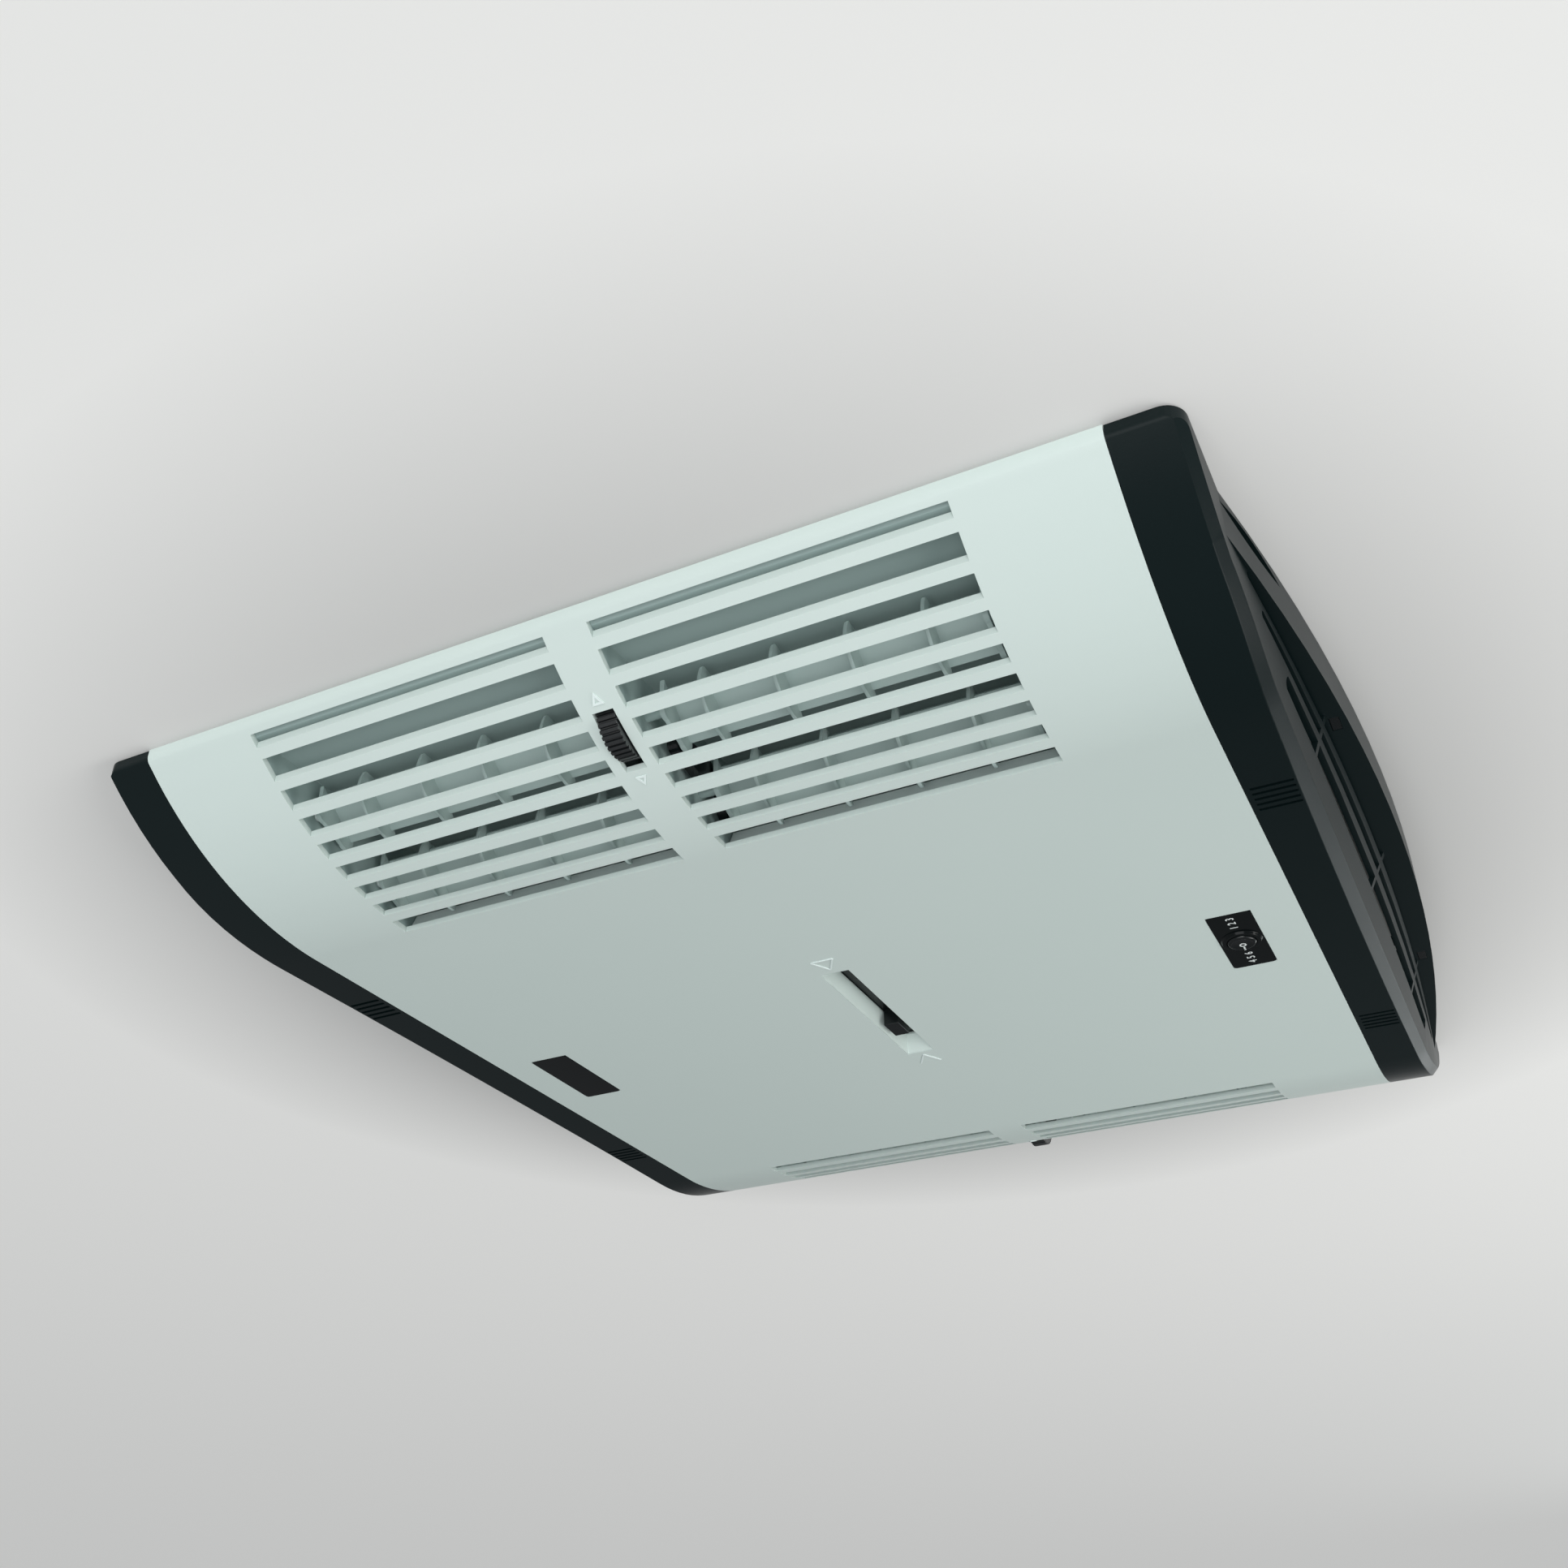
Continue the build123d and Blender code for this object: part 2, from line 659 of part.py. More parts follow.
save(mirrored(front_link_bar, Plane.XZ), "rear_link_bar")


def control_plate(side_x, width, length):
    face_z = -height - plate_proud
    with BuildPart() as plate:
        with BuildSketch(Plane.XY.offset(face_z)):
            with Locations((side_x, 0)):
                RectangleRounded(width - 2 * plate_fit, length - 2 * plate_fit, plate_corner)
        extrude(amount=floor_z - face_z)
        with BuildSketch(Plane.XY.offset(floor_z)):
            with Locations((side_x, 0)):
                RectangleRounded(width + 2 * plate_flange, length + 2 * plate_flange,
                                 plate_corner)
        extrude(amount=plate_flange_thick)
    return plate


# Black plate with the raised ring round the knob
plain_plate = control_plate(plate_x, knob_plate_width, knob_plate_length)
with BuildPart() as knob_plate:
    add(plain_plate.part)
    ring_z = -height - plate_proud
    with BuildSketch(Plane.XY.offset(ring_z)):
        with Locations((plate_x, knob_y)):
            Circle(ring_outer)
    extrude(amount=-ring_high, taper=30)
    with BuildSketch(Plane.XY.offset(ring_z - ring_high)):
        with Locations((plate_x, knob_y)):
            Circle(ring_inner)
    extrude(amount=ring_high, mode=Mode.SUBTRACT)
    with BuildSketch(Plane.XY.offset(ring_z)):
        with Locations((plate_x, knob_y)):
            Circle(shaft_radius + slide_gap)
    extrude(amount=skin + plate_proud + plate_flange_thick, mode=Mode.SUBTRACT)
save(knob_plate, "knob_plate")

# Dark window over the signal receiver
receiver_window = control_plate(-plate_x, window_width, window_length)
save(receiver_window, "receiver_window")

# Rotary knob with its shaft
with BuildPart() as control_knob:
    knob_top_z = -height - plate_proud - slide_gap
    with BuildSketch(Plane.XY.offset(knob_top_z)):
        with Locations((plate_x, knob_y)):
            Circle(knob_radius)
    extrude(amount=-(knob_proud + height + knob_top_z))
    fillet(control_knob.faces().sort_by(Axis.Z)[0].edges(), knob_round)
    with BuildSketch(Plane.XY.offset(knob_top_z)):
        with Locations((plate_x, knob_y)):
            Circle(shaft_radius)
    extrude(amount=shaft_top_z - knob_top_z)
save(control_knob, "control_knob")

# Rotary control that the knob turns
with BuildPart() as rotary_control:
    with BuildSketch(Plane.XY.offset(pot_low_z)):
        with Locations((plate_x, knob_y)):
            RectangleRounded(pot_size, pot_size, plate_corner / 2)
    extrude(amount=board_low_z - pot_low_z)
    with BuildSketch(Plane.XY.offset(pot_low_z)):
        with Locations((plate_x, knob_y)):
            Circle(shaft_radius + fit_gap)
    extrude(amount=shaft_top_z + slide_gap - pot_low_z, mode=Mode.SUBTRACT)
save(rotary_control, "rotary_control")


def board(side_x):
    with BuildPart() as plate:
        with BuildSketch(Plane.XY.offset(board_low_z)):
            with Locations((side_x, 0)):
                RectangleRounded(board_width, board_length, plate_corner)
                with GridLocations(post_spacing_x, post_spacing_y, 2, 2):
                    Circle(board_hole, mode=Mode.SUBTRACT)
        extrude(amount=board_thick)
    return plate


# Boards behind the knob plate and the window
control_board = board(board_x)
save(control_board, "control_board")
receiver_board = board(-board_x)
save(receiver_board, "receiver_board")

# Signal receiver under its board
with BuildPart() as signal_receiver:
    with BuildSketch(Plane.XY.offset(board_low_z)):
        with Locations((-plate_x, 0)):
            Rectangle(pot_size / 2, pot_size / 2)
    extrude(amount=pot_low_z - board_low_z)
    fillet(signal_receiver.edges().filter_by(Axis.Z), knob_round)
save(signal_receiver, "signal_receiver")

# Plug socket on the control board
with BuildPart() as plug_socket:
    socket_z = board_low_z + board_thick
    with BuildSketch(Plane.XY.offset(socket_z)):
        with Locations((board_x, board_length / 4)):
            Rectangle(pot_size, pot_size / 2)
    extrude(amount=pot_size / 2)
    with BuildSketch(Plane.XY.offset(socket_z + pot_size / 2)):
        with Locations((board_x, board_length / 4)):
            Rectangle(pot_size - skin, pot_size / 2 - skin)
    extrude(amount=-pot_size / 3, mode=Mode.SUBTRACT)
save(plug_socket, "plug_socket")

# Screws of the two boards
with BuildPart() as board_screws:
    for hand in (-1, 1):
        with BuildSketch(Plane.XY.offset(board_low_z + board_thick)):
            with Locations((hand * board_x, 0)):
                with GridLocations(post_spacing_x, post_spacing_y, 2, 2):
                    Circle(board_screw_head)
        extrude(amount=board_screw_head_high)
        with BuildSketch(Plane.XY.offset(board_low_z + board_thick)):
            with Locations((hand * board_x, 0)):
                with GridLocations(post_spacing_x, post_spacing_y, 2, 2):
                    Circle(post_bore - seat_gap)
        extrude(amount=-board_screw_depth - board_thick)
save(board_screws, "board_screws")

# Screws that hold the cover to the base frame
with BuildPart() as cover_screws:
    with BuildSketch(Plane.XY.offset(tab_low_z - cover_screw_head_high)):
        with GridLocations(2 * tab_x, 2 * tab_y, 2, 2):
            Circle(cover_screw_head)
    extrude(amount=cover_screw_head_high)
    with BuildSketch(Plane.XY.offset(tab_low_z)):
        with GridLocations(2 * tab_x, 2 * tab_y, 2, 2):
            Circle(pillar_bore - seat_gap)
    extrude(amount=cover_screw_length)
save(cover_screws, "cover_screws")

# Return air sensor on a small foot
with BuildPart() as return_sensor:
    with BuildSketch(Plane.XY.offset(floor_z)):
        with Locations(sensor_at):
            Rectangle(sensor_foot, sensor_foot)
    extrude(amount=sensor_foot_high)
    with BuildSketch(Plane.XY.offset(floor_z)):
        with Locations(sensor_at):
            Circle(sensor_radius)
    extrude(amount=sensor_high)
    fillet(return_sensor.faces().sort_by(Axis.Z)[-1].edges(), sensor_radius / 2)
save(return_sensor, "return_sensor")


def cap_plan(inset, bulge):
    # Plan of the cap, straight at the corners and bowed between them
    wall_y = half_depth - inset
    end_x = cap_end_x - inset
    with BuildSketch() as plan:
        with BuildLine():
            Line((cap_start_x, -wall_y), (end_x, -wall_y))
            Line((end_x, -wall_y), (end_x, -cap_arc_half))
            ThreePointArc((end_x, -cap_arc_half), (end_x + bulge, 0), (end_x, cap_arc_half))
            Line((end_x, cap_arc_half), (end_x, wall_y))
            Line((end_x, wall_y), (cap_start_x, wall_y))
            Line((cap_start_x, wall_y), (cap_start_x, -wall_y))
        make_face()
    return plan.sketch


def cap_volume(inset, top_z):
    with BuildPart() as volume:
        with BuildSketch(Plane.XY.offset(-height)):
            add(cap_plan(inset, wall_low_bulge))
        with BuildSketch(Plane.XY.offset(shelf_z)):
            add(cap_plan(inset, wall_high_bulge))
        loft(ruled=True)
        if inset > 0:
            with BuildSketch(Plane.XY.offset(shelf_z)):
                add(cap_plan(inset, wall_high_bulge))
            extrude(amount=inset)
        with BuildSketch(Plane.XY.offset(shelf_z + inset)):
            add(cap_plan(inset, rim_bulge))
        extrude(amount=top_z - shelf_z - inset)
        with BuildSketch(Plane.YZ.offset(cap_start_x)):
            add(profile_face(inset, top_z))
        extrude(amount=cap_end_x, mode=Mode.INTERSECT)
    return volume


def corner_prism(inset, top_z):
    # Upright block with the rounded outer corners of the cap
    with BuildPart() as prism:
        with BuildSketch(Plane.XY.offset(-height)):
            add(cap_plan(inset, rim_bulge))
        extrude(amount=height + top_z)
        corners = prism.edges().filter_by(Axis.Z).group_by(SortBy.DISTANCE)[-1]
        fillet(corners, cap_corner - inset)
    return prism


def is_lower_edge(edge):
    # True along the edge between the visible face and the side wall of the cap
    box = edge.bounding_box()
    is_outer = box.min.X > grip_end_x and box.max.X < cap_end_x + skin
    return is_outer and box.min.Z < shelf_z - skin and box.size.Y > cap_bevel


# Right end cap: shell with return air slots, grips, filter ribs and two hanging runners
cap_cavity = cap_volume(skin, overcut)
with cap_cavity:
    add(corner_prism(skin, overcut).part, mode=Mode.INTERSECT)
cap_outer = cap_volume(0.0, cap_top_z)
with BuildPart() as right_end_cap:
    add(cap_outer.part)
    chamfer(right_end_cap.edges().filter_by(is_lower_edge), cap_bevel)
    round_lips(right_end_cap, lip_round)
    add(corner_prism(0.0, 0.0).part, mode=Mode.INTERSECT)
    add(cap_cavity.part, mode=Mode.SUBTRACT)
    for slot_low, slot_high, slot_half in return_slots:
        slot_height = slot_high - slot_low
        with BuildSketch(Plane.YZ.offset(filter_x)):
            with Locations((0, (slot_low + slot_high) / 2)):
                SlotOverall(2 * slot_half, slot_height)
                with GridLocations(slot_divider_y, 0, 3, 1):
                    Rectangle(slot_divider, slot_height, mode=Mode.SUBTRACT)
        extrude(amount=overcut + overcut, mode=Mode.SUBTRACT)
    for side in (-1, 1):
        clip_span = (side * clip_y - clip_hole_length / 2, side * clip_y + clip_hole_length / 2)
        box_between(clip_hole_x, clip_span, (shelf_z, shelf_z + skin), Mode.SUBTRACT)
        with BuildSketch(Plane.YZ.offset(cap_end_x - 2 * skin)):
            with BuildLine():
                lens_start = (side * lens_y - lens_half, lens_z)
                lens_end = (side * lens_y + lens_half, lens_z)
                ThreePointArc(lens_start, (side * lens_y, lens_z + lens_half_high), lens_end)
                ThreePointArc(lens_end, (side * lens_y, lens_z - lens_half_high), lens_start)
            make_face()
        extrude(amount=overcut, mode=Mode.SUBTRACT)
        with BuildSketch(Plane.XY.offset(-height)):
            with Locations(((cap_start_x + grip_end_x) / 2, side * grip_y)):
                with GridLocations(0, grip_spacing, 1, grip_count):
                    SlotOverall(grip_end_x - cap_start_x - 2 * grip_width, grip_width)
        extrude(amount=grip_depth, mode=Mode.SUBTRACT)
        with BuildSketch(Plane.YZ.offset(runner_start)):
            with Locations((side * runner_y, (runner_foot_z + cap_top_z) / 2)):
                Rectangle(runner_stem, cap_top_z - runner_foot_z)
            with Locations((side * runner_y, (runner_cap_low_z + cap_top_z) / 2)):
                Rectangle(runner_cap_width, cap_top_z - runner_cap_low_z)
        extrude(amount=runner_end - runner_start)
    for rib_side in (-1, 1):
        rib_x = filter_x + rib_side * (filter_thick + rib_thick + 2 * filter_fit) / 2
        with BuildSketch(Plane.XY.offset(floor_z)):
            with Locations((rib_x, 0)):
                with GridLocations(0, rib_spacing, 1, 3):
                    Rectangle(rib_thick, rib_length)
        extrude(amount=rib_high)
save(right_end_cap, "right_end_cap")
left_end_cap = mirrored(right_end_cap, Plane.YZ)
save(left_end_cap, "left_end_cap")

# Filter frame and filter mat behind the return slots
with BuildPart() as right_filter_frame:
    filter_low = filter_x - filter_thick / 2
    box_between((filter_low, filter_low + filter_thick), (-filter_half_y, filter_half_y),
                (-height, filter_top_z))
    with BuildSketch(Plane.YZ.offset(filter_low)):
        add(profile_face(skin + fit_gap, 0.0))
    extrude(amount=filter_thick, mode=Mode.INTERSECT)
    with BuildSketch(Plane.YZ.offset(filter_low)):
        with Locations((0, (floor_z + filter_top_z) / 2)):
            with GridLocations((filter_half_y - filter_border) / 2 + filter_border / 2,
                               0, 4, 1):
                Rectangle((filter_half_y - filter_border) / 2 - filter_border / 2,
                          filter_top_z - floor_z - 2 * filter_border)
    extrude(amount=filter_thick, mode=Mode.SUBTRACT)
save(right_filter_frame, "right_filter_frame")
save(mirrored(right_filter_frame, Plane.YZ), "left_filter_frame")
with BuildPart() as right_filter_mat:
    mat_low = filter_x - filter_thick / 2 - filter_mat_thick
    box_between((mat_low, filter_low),
                (-filter_half_y + filter_border, filter_half_y - filter_border),
                (floor_z + rib_high + filter_fit, filter_top_z))
save(right_filter_mat, "right_filter_mat")
save(mirrored(right_filter_mat, Plane.YZ), "left_filter_mat")

# Spring clips in the shelf of the cap that snap under the base frame
with BuildPart() as right_cap_clips:
    for side in (-1, 1):
        clip_half = clip_hole_length / 2 - plate_fit
        clip_span = (side * clip_y - clip_half, side * clip_y + clip_half)
        arm_low = frame_low_z - 3 * board_thick
        box_between((clip_hole_x[0] + plate_fit, clip_hole_x[1] - plate_fit), clip_span,
                    (shelf_z, arm_low))
        box_between((frame_half_x - 2 * boss_high, clip_hole_x[1] - plate_fit), clip_span,
                    (arm_low, arm_low + board_thick))
        box_between((frame_half_x - 2 * boss_high, frame_half_x - boss_high), clip_span,
                    (arm_low, frame_low_z - slide_gap))
save(right_cap_clips, "right_cap_clips")
save(mirrored(right_cap_clips, Plane.YZ), "left_cap_clips")
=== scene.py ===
import json
import math

import bmesh
import bpy
from mathutils import Euler, Matrix, Vector


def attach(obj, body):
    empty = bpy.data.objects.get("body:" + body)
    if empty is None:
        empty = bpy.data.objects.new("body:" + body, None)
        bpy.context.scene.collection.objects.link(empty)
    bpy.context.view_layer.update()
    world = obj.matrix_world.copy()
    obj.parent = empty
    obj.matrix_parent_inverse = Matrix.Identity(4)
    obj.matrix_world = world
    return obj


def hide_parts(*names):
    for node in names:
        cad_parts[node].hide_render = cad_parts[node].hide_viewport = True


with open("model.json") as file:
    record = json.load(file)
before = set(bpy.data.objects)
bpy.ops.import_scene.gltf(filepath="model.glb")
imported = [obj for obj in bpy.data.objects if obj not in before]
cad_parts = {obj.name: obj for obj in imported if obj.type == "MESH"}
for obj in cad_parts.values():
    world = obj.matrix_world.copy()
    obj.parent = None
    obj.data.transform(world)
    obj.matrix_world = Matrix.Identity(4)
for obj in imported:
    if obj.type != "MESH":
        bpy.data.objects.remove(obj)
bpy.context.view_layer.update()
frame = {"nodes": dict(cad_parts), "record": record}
print("frame loaded")


def mm(value):
    return value / 1000.0


# camera as solved from the photo, in millimetres and degrees
cameraSetup = {
    "place": (272.66, -636.10, -358.33),
    "yaw": 27.02,
    "pitch": 32.68,
    "roll": 0.1,
    "lens": 36.07,
    "sensor": 36,
    "clipStart": 0.01,
}
turn = Euler((math.radians(90 + cameraSetup["pitch"]), 0, math.radians(cameraSetup["yaw"])))
cameraMatrix = Matrix.Translation([mm(v) for v in cameraSetup["place"]]) @ turn.to_matrix().to_4x4()
cameraMatrix = cameraMatrix @ Matrix.Rotation(math.radians(cameraSetup["roll"]), 4, "Z")
cameraData = bpy.data.cameras.new("photoCamera")
cameraData.lens = cameraSetup["lens"]
cameraData.sensor_width = cameraSetup["sensor"]
cameraData.clip_start = cameraSetup["clipStart"]
camera = bpy.data.objects.new("photoCamera", cameraData)
camera.matrix_world = cameraMatrix
bpy.context.scene.collection.objects.link(camera)
bpy.context.scene.camera = camera

# ceiling and room, in metres
stageSetup = {
    "ceilingSize": 24.0,
    "ceilingHeight": 0.0006,
    "ceilingColor": (0.46, 0.46, 0.45),
    "ceilingRough": 0.85,
    # painted glow of the ceiling: none above the object, rising further out
    "glowColor": (1.0, 1.0, 0.98),
    "glowStrength": 0.34,
    "glowSpan": (0.22, 0.44),
    "worldColor": (0.94, 0.97, 1.0),
    "worldStrength": 0.48,
    "rearShare": 0.3,
    "dimSpan": (0.15, 0.8),
    "backdropColor": (0.93, 0.93, 0.93),
}
# name, place, size, watts and colour of each lamp
lightSetup = [
    ("windowLight", (0.25, -1.75, -1.0), 1.5, 17, (0.97, 0.99, 1.0)),
    ("frontLight", (0.75, -2.0, -0.30), 0.7, 11, (0.98, 1.0, 1.0)),
    ("sideLight", (1.15, 0.25, -0.85), 0.8, 9.5, (1.0, 0.99, 0.97)),
    ("rearLight", (0.9, 1.9, -0.30), 0.6, 3.5, (0.95, 1.0, 1.0)),
    ("roofLight", (0.5, -0.9, 2.0), 1.6, 26, (1.0, 1.0, 1.0)),
]


def nodeTree(name):
    material = bpy.data.materials.new(name)
    material.use_nodes = True
    tree = material.node_tree
    return material, tree, tree.nodes["Principled BSDF"]


def addNode(tree, kind, **values):
    node = tree.nodes.new(kind)
    for key, value in values.items():
        setattr(node, key, value)
    return node


def mapRange(tree, source, fromSpan=(0.0, 1.0), toSpan=(0.0, 1.0)):
    node = addNode(tree, "ShaderNodeMapRange")
    node.inputs["From Min"].default_value, node.inputs["From Max"].default_value = fromSpan
    node.inputs["To Min"].default_value, node.inputs["To Max"].default_value = toSpan
    tree.links.new(source, node.inputs["Value"])
    return node.outputs["Result"]


def ceilingPaint():
    # seen from below only; a painted glow evens out the far ceiling and fades out above the object, which leaves a
    # painted shade on the ceiling around it
    material, tree, shader = nodeTree("ceilingPaint")
    shader.inputs["Base Color"].default_value = (*stageSetup["ceilingColor"], 1)
    shader.inputs["Roughness"].default_value = stageSetup["ceilingRough"]
    shader.inputs["Emission Color"].default_value = (*stageSetup["glowColor"], 1)
    spot = addNode(tree, "ShaderNodeTexCoord")
    reach = addNode(tree, "ShaderNodeVectorMath", operation="LENGTH")
    tree.links.new(spot.outputs["Object"], reach.inputs[0])
    glow = mapRange(tree, reach.outputs["Value"], stageSetup["glowSpan"], (0.0, stageSetup["glowStrength"]))
    tree.links.new(glow, shader.inputs["Emission Strength"])
    clear = addNode(tree, "ShaderNodeBsdfTransparent")
    facing = addNode(tree, "ShaderNodeNewGeometry")
    mix = addNode(tree, "ShaderNodeMixShader")
    tree.links.new(facing.outputs["Backfacing"], mix.inputs[0])
    tree.links.new(shader.outputs[0], mix.inputs[1])
    tree.links.new(clear.outputs[0], mix.inputs[2])
    tree.links.new(mix.outputs[0], tree.nodes["Material Output"].inputs["Surface"])
    return material


def buildCeiling():
    half = stageSetup["ceilingSize"] / 2
    level = stageSetup["ceilingHeight"]
    mesh = bpy.data.meshes.new("ceiling")
    corners = [(-half, -half, level), (-half, half, level), (half, half, level), (half, -half, level)]
    mesh.from_pydata(corners, [], [(0, 1, 2, 3)])
    mesh.materials.append(ceilingPaint())
    ceiling = bpy.data.objects.new("ceiling", mesh)
    bpy.context.scene.collection.objects.link(ceiling)
    # the roof lamp reaches the upper side of the part
    ceiling.visible_shadow = False


def addLamps(target=(0, 0, 0)):
    for name, place, size, power, color in lightSetup:
        data = bpy.data.lights.new(name, "AREA")
        data.size = size
        data.energy = power
        data.color = color
        lamp = bpy.data.objects.new(name, data)
        bpy.context.scene.collection.objects.link(lamp)
        lamp.location = place
        lamp.rotation_euler = (Vector(target) - Vector(place)).to_track_quat("-Z", "Y").to_euler()


def buildWorld():
    # a soft room, dimmer towards the rear, with a plain pale backdrop
    world = bpy.data.worlds.new("softSky")
    world.use_nodes = True
    bpy.context.scene.world = world
    tree = world.node_tree
    room = tree.nodes["Background"]
    room.inputs["Color"].default_value = (*stageSetup["worldColor"], 1)
    aim = addNode(tree, "ShaderNodeTexCoord")
    parts = addNode(tree, "ShaderNodeSeparateXYZ")
    tree.links.new(aim.outputs["Generated"], parts.inputs[0])
    strength = stageSetup["worldStrength"]
    dim = mapRange(tree, parts.outputs["Y"], stageSetup["dimSpan"], (strength, strength * stageSetup["rearShare"]))
    tree.links.new(dim, room.inputs["Strength"])
    backdrop = addNode(tree, "ShaderNodeBackground")
    backdrop.inputs["Color"].default_value = (*stageSetup["backdropColor"], 1)
    path = addNode(tree, "ShaderNodeLightPath")
    mix = addNode(tree, "ShaderNodeMixShader")
    tree.links.new(path.outputs["Is Camera Ray"], mix.inputs[0])
    tree.links.new(room.outputs[0], mix.inputs[1])
    tree.links.new(backdrop.outputs[0], mix.inputs[2])
    tree.links.new(mix.outputs[0], tree.nodes["World Output"].inputs["Surface"])


buildCeiling()
addLamps()
buildWorld()
bpy.context.scene.view_settings.view_transform = "Standard"
print("camera, ceiling and lamps set")

# finishes of the moulded, foamed and coated surfaces
finishes = {
    "whiteShell": {"color": (0.565, 0.645, 0.614), "shade": (0.535, 0.614, 0.584),
                   "rough": 0.42, "grain": 1400, "bump": 0.08, "spec": 0.4},
    "wheelBlack": {"color": (0.0060, 0.0075, 0.0080), "shade": (0.0085, 0.0100, 0.0105),
                   "rough": 0.28, "grain": 1500, "bump": 0.03, "spec": 0.6},
    # painted highlight: the white shell plastic made brighter for the sills and raised marks, which are the same
    # plastic
    "shellPaintedHighlight": {"color": (0.700, 0.780, 0.760), "shade": (0.660, 0.740, 0.720),
                   "rough": 0.35, "grain": 1400, "bump": 0.05, "spec": 0.5},
    # painted shade: the duct and the blades are one light plastic, painted darker for the shade inside the housing,
    # the duct more than the blades
    "ductPlasticPaintedShade": {"color": (0.310, 0.395, 0.380), "shade": (0.280, 0.365, 0.350),
                    "rough": 0.45, "grain": 1200, "bump": 0.06, "spec": 0.4},
    "bladePlasticPaintedShade": {"color": (0.400, 0.490, 0.470), "shade": (0.370, 0.460, 0.440),
                     "rough": 0.40, "grain": 1400, "bump": 0.05, "spec": 0.5},
    "pinPlastic": {"color": (0.640, 0.720, 0.700), "shade": (0.600, 0.680, 0.660),
                   "rough": 0.35, "grain": 1500, "bump": 0.05, "spec": 0.5},
    "frameGrey": {"color": (0.330, 0.345, 0.350), "shade": (0.290, 0.300, 0.305),
                  "rough": 0.55, "grain": 900, "bump": 0.12, "spec": 0.4},
    "capBlack": {"color": (0.0022, 0.0062, 0.0066), "shade": (0.0034, 0.0088, 0.0094),
                 "rough": 0.34, "grain": 1900, "bump": 0.10, "spec": 0.13},
    "barBlack": {"color": (0.0020, 0.0034, 0.0038), "shade": (0.0028, 0.0044, 0.0048),
                 "rough": 0.24, "grain": 1500, "bump": 0.04, "spec": 0.34},
    "plateBlack": {"color": (0.0014, 0.0026, 0.0028), "shade": (0.0020, 0.0034, 0.0038),
                   "rough": 0.14, "grain": 700, "bump": 0.01, "spec": 0.16},
    "markWhite": {"color": (0.700, 0.740, 0.730), "shade": (0.640, 0.680, 0.670),
                  "rough": 0.50, "grain": 900, "bump": 0.05, "spec": 0.3},
    "foamBlack": {"color": (0.035, 0.035, 0.037), "shade": (0.070, 0.070, 0.073),
                  "rough": 0.95, "grain": 520, "bump": 0.90, "spec": 0.2},
    "boardGreen": {"color": (0.020, 0.110, 0.060), "shade": (0.030, 0.150, 0.080),
                   "rough": 0.35, "grain": 300, "bump": 0.10, "spec": 0.5},
}
grainSetup = {"driftScale": 9.0, "driftDetail": 4.0, "grainDetail": 2.0, "distance": 0.0002, "smoother": 0.06, "rougher": 0.08}
brushSetup = {"scale": 60.0, "detail": 5.0, "darker": 0.8, "smoother": 0.08, "rougher": 0.12, "bump": 0.15, "distance": 0.0001}
weaveSetup = {"bump": 0.8, "distance": 0.0004, "rough": 0.8}


def addNoise(tree, source, scale, detail):
    noise = addNode(tree, "ShaderNodeTexNoise")
    noise.inputs["Scale"].default_value = scale
    noise.inputs["Detail"].default_value = detail
    tree.links.new(source, noise.inputs["Vector"])
    return noise.outputs["Fac"]


def blendColors(tree, shader, factor, first, second):
    blend = addNode(tree, "ShaderNodeMix", data_type="RGBA")
    blend.inputs[6].default_value = (*first, 1)
    blend.inputs[7].default_value = (*second, 1)
    tree.links.new(factor, blend.inputs[0])
    tree.links.new(blend.outputs[2], shader.inputs["Base Color"])


def addBump(tree, shader, height, strength, distance):
    lift = addNode(tree, "ShaderNodeBump")
    lift.inputs["Strength"].default_value = strength
    lift.inputs["Distance"].default_value = distance
    tree.links.new(height, lift.inputs["Height"])
    tree.links.new(lift.outputs["Normal"], shader.inputs["Normal"])


def grainedFinish(name, color, shade, rough, grain, bump, spec):
    # moulded surface: slow colour drift, uneven gloss and fine grain
    material, tree, shader = nodeTree(name)
    place = addNode(tree, "ShaderNodeTexCoord").outputs["Object"]
    drift = addNoise(tree, place, grainSetup["driftScale"], grainSetup["driftDetail"])
    fine = addNoise(tree, place, grain, grainSetup["grainDetail"])
    blendColors(tree, shader, drift, color, shade)
    addBump(tree, shader, fine, bump, grainSetup["distance"])
    gloss = mapRange(tree, drift, toSpan=(rough - grainSetup["smoother"], rough + grainSetup["rougher"]))
    tree.links.new(gloss, shader.inputs["Roughness"])
    shader.inputs["Specular IOR Level"].default_value = spec
    return material


def brushedFinish(name, color, rough, stretch):
    # metal with fine lines along one direction
    material, tree, shader = nodeTree(name)
    place = addNode(tree, "ShaderNodeTexCoord")
    mapping = addNode(tree, "ShaderNodeMapping")
    mapping.inputs["Scale"].default_value = stretch
    tree.links.new(place.outputs["Object"], mapping.inputs["Vector"])
    lines = addNoise(tree, mapping.outputs["Vector"], brushSetup["scale"], brushSetup["detail"])
    blendColors(tree, shader, lines, color, [c * brushSetup["darker"] for c in color])
    addBump(tree, shader, lines, brushSetup["bump"], brushSetup["distance"])
    gloss = mapRange(tree, lines, toSpan=(rough - brushSetup["smoother"], rough + brushSetup["rougher"]))
    tree.links.new(gloss, shader.inputs["Roughness"])
    shader.inputs["Metallic"].default_value = 1.0
    return material


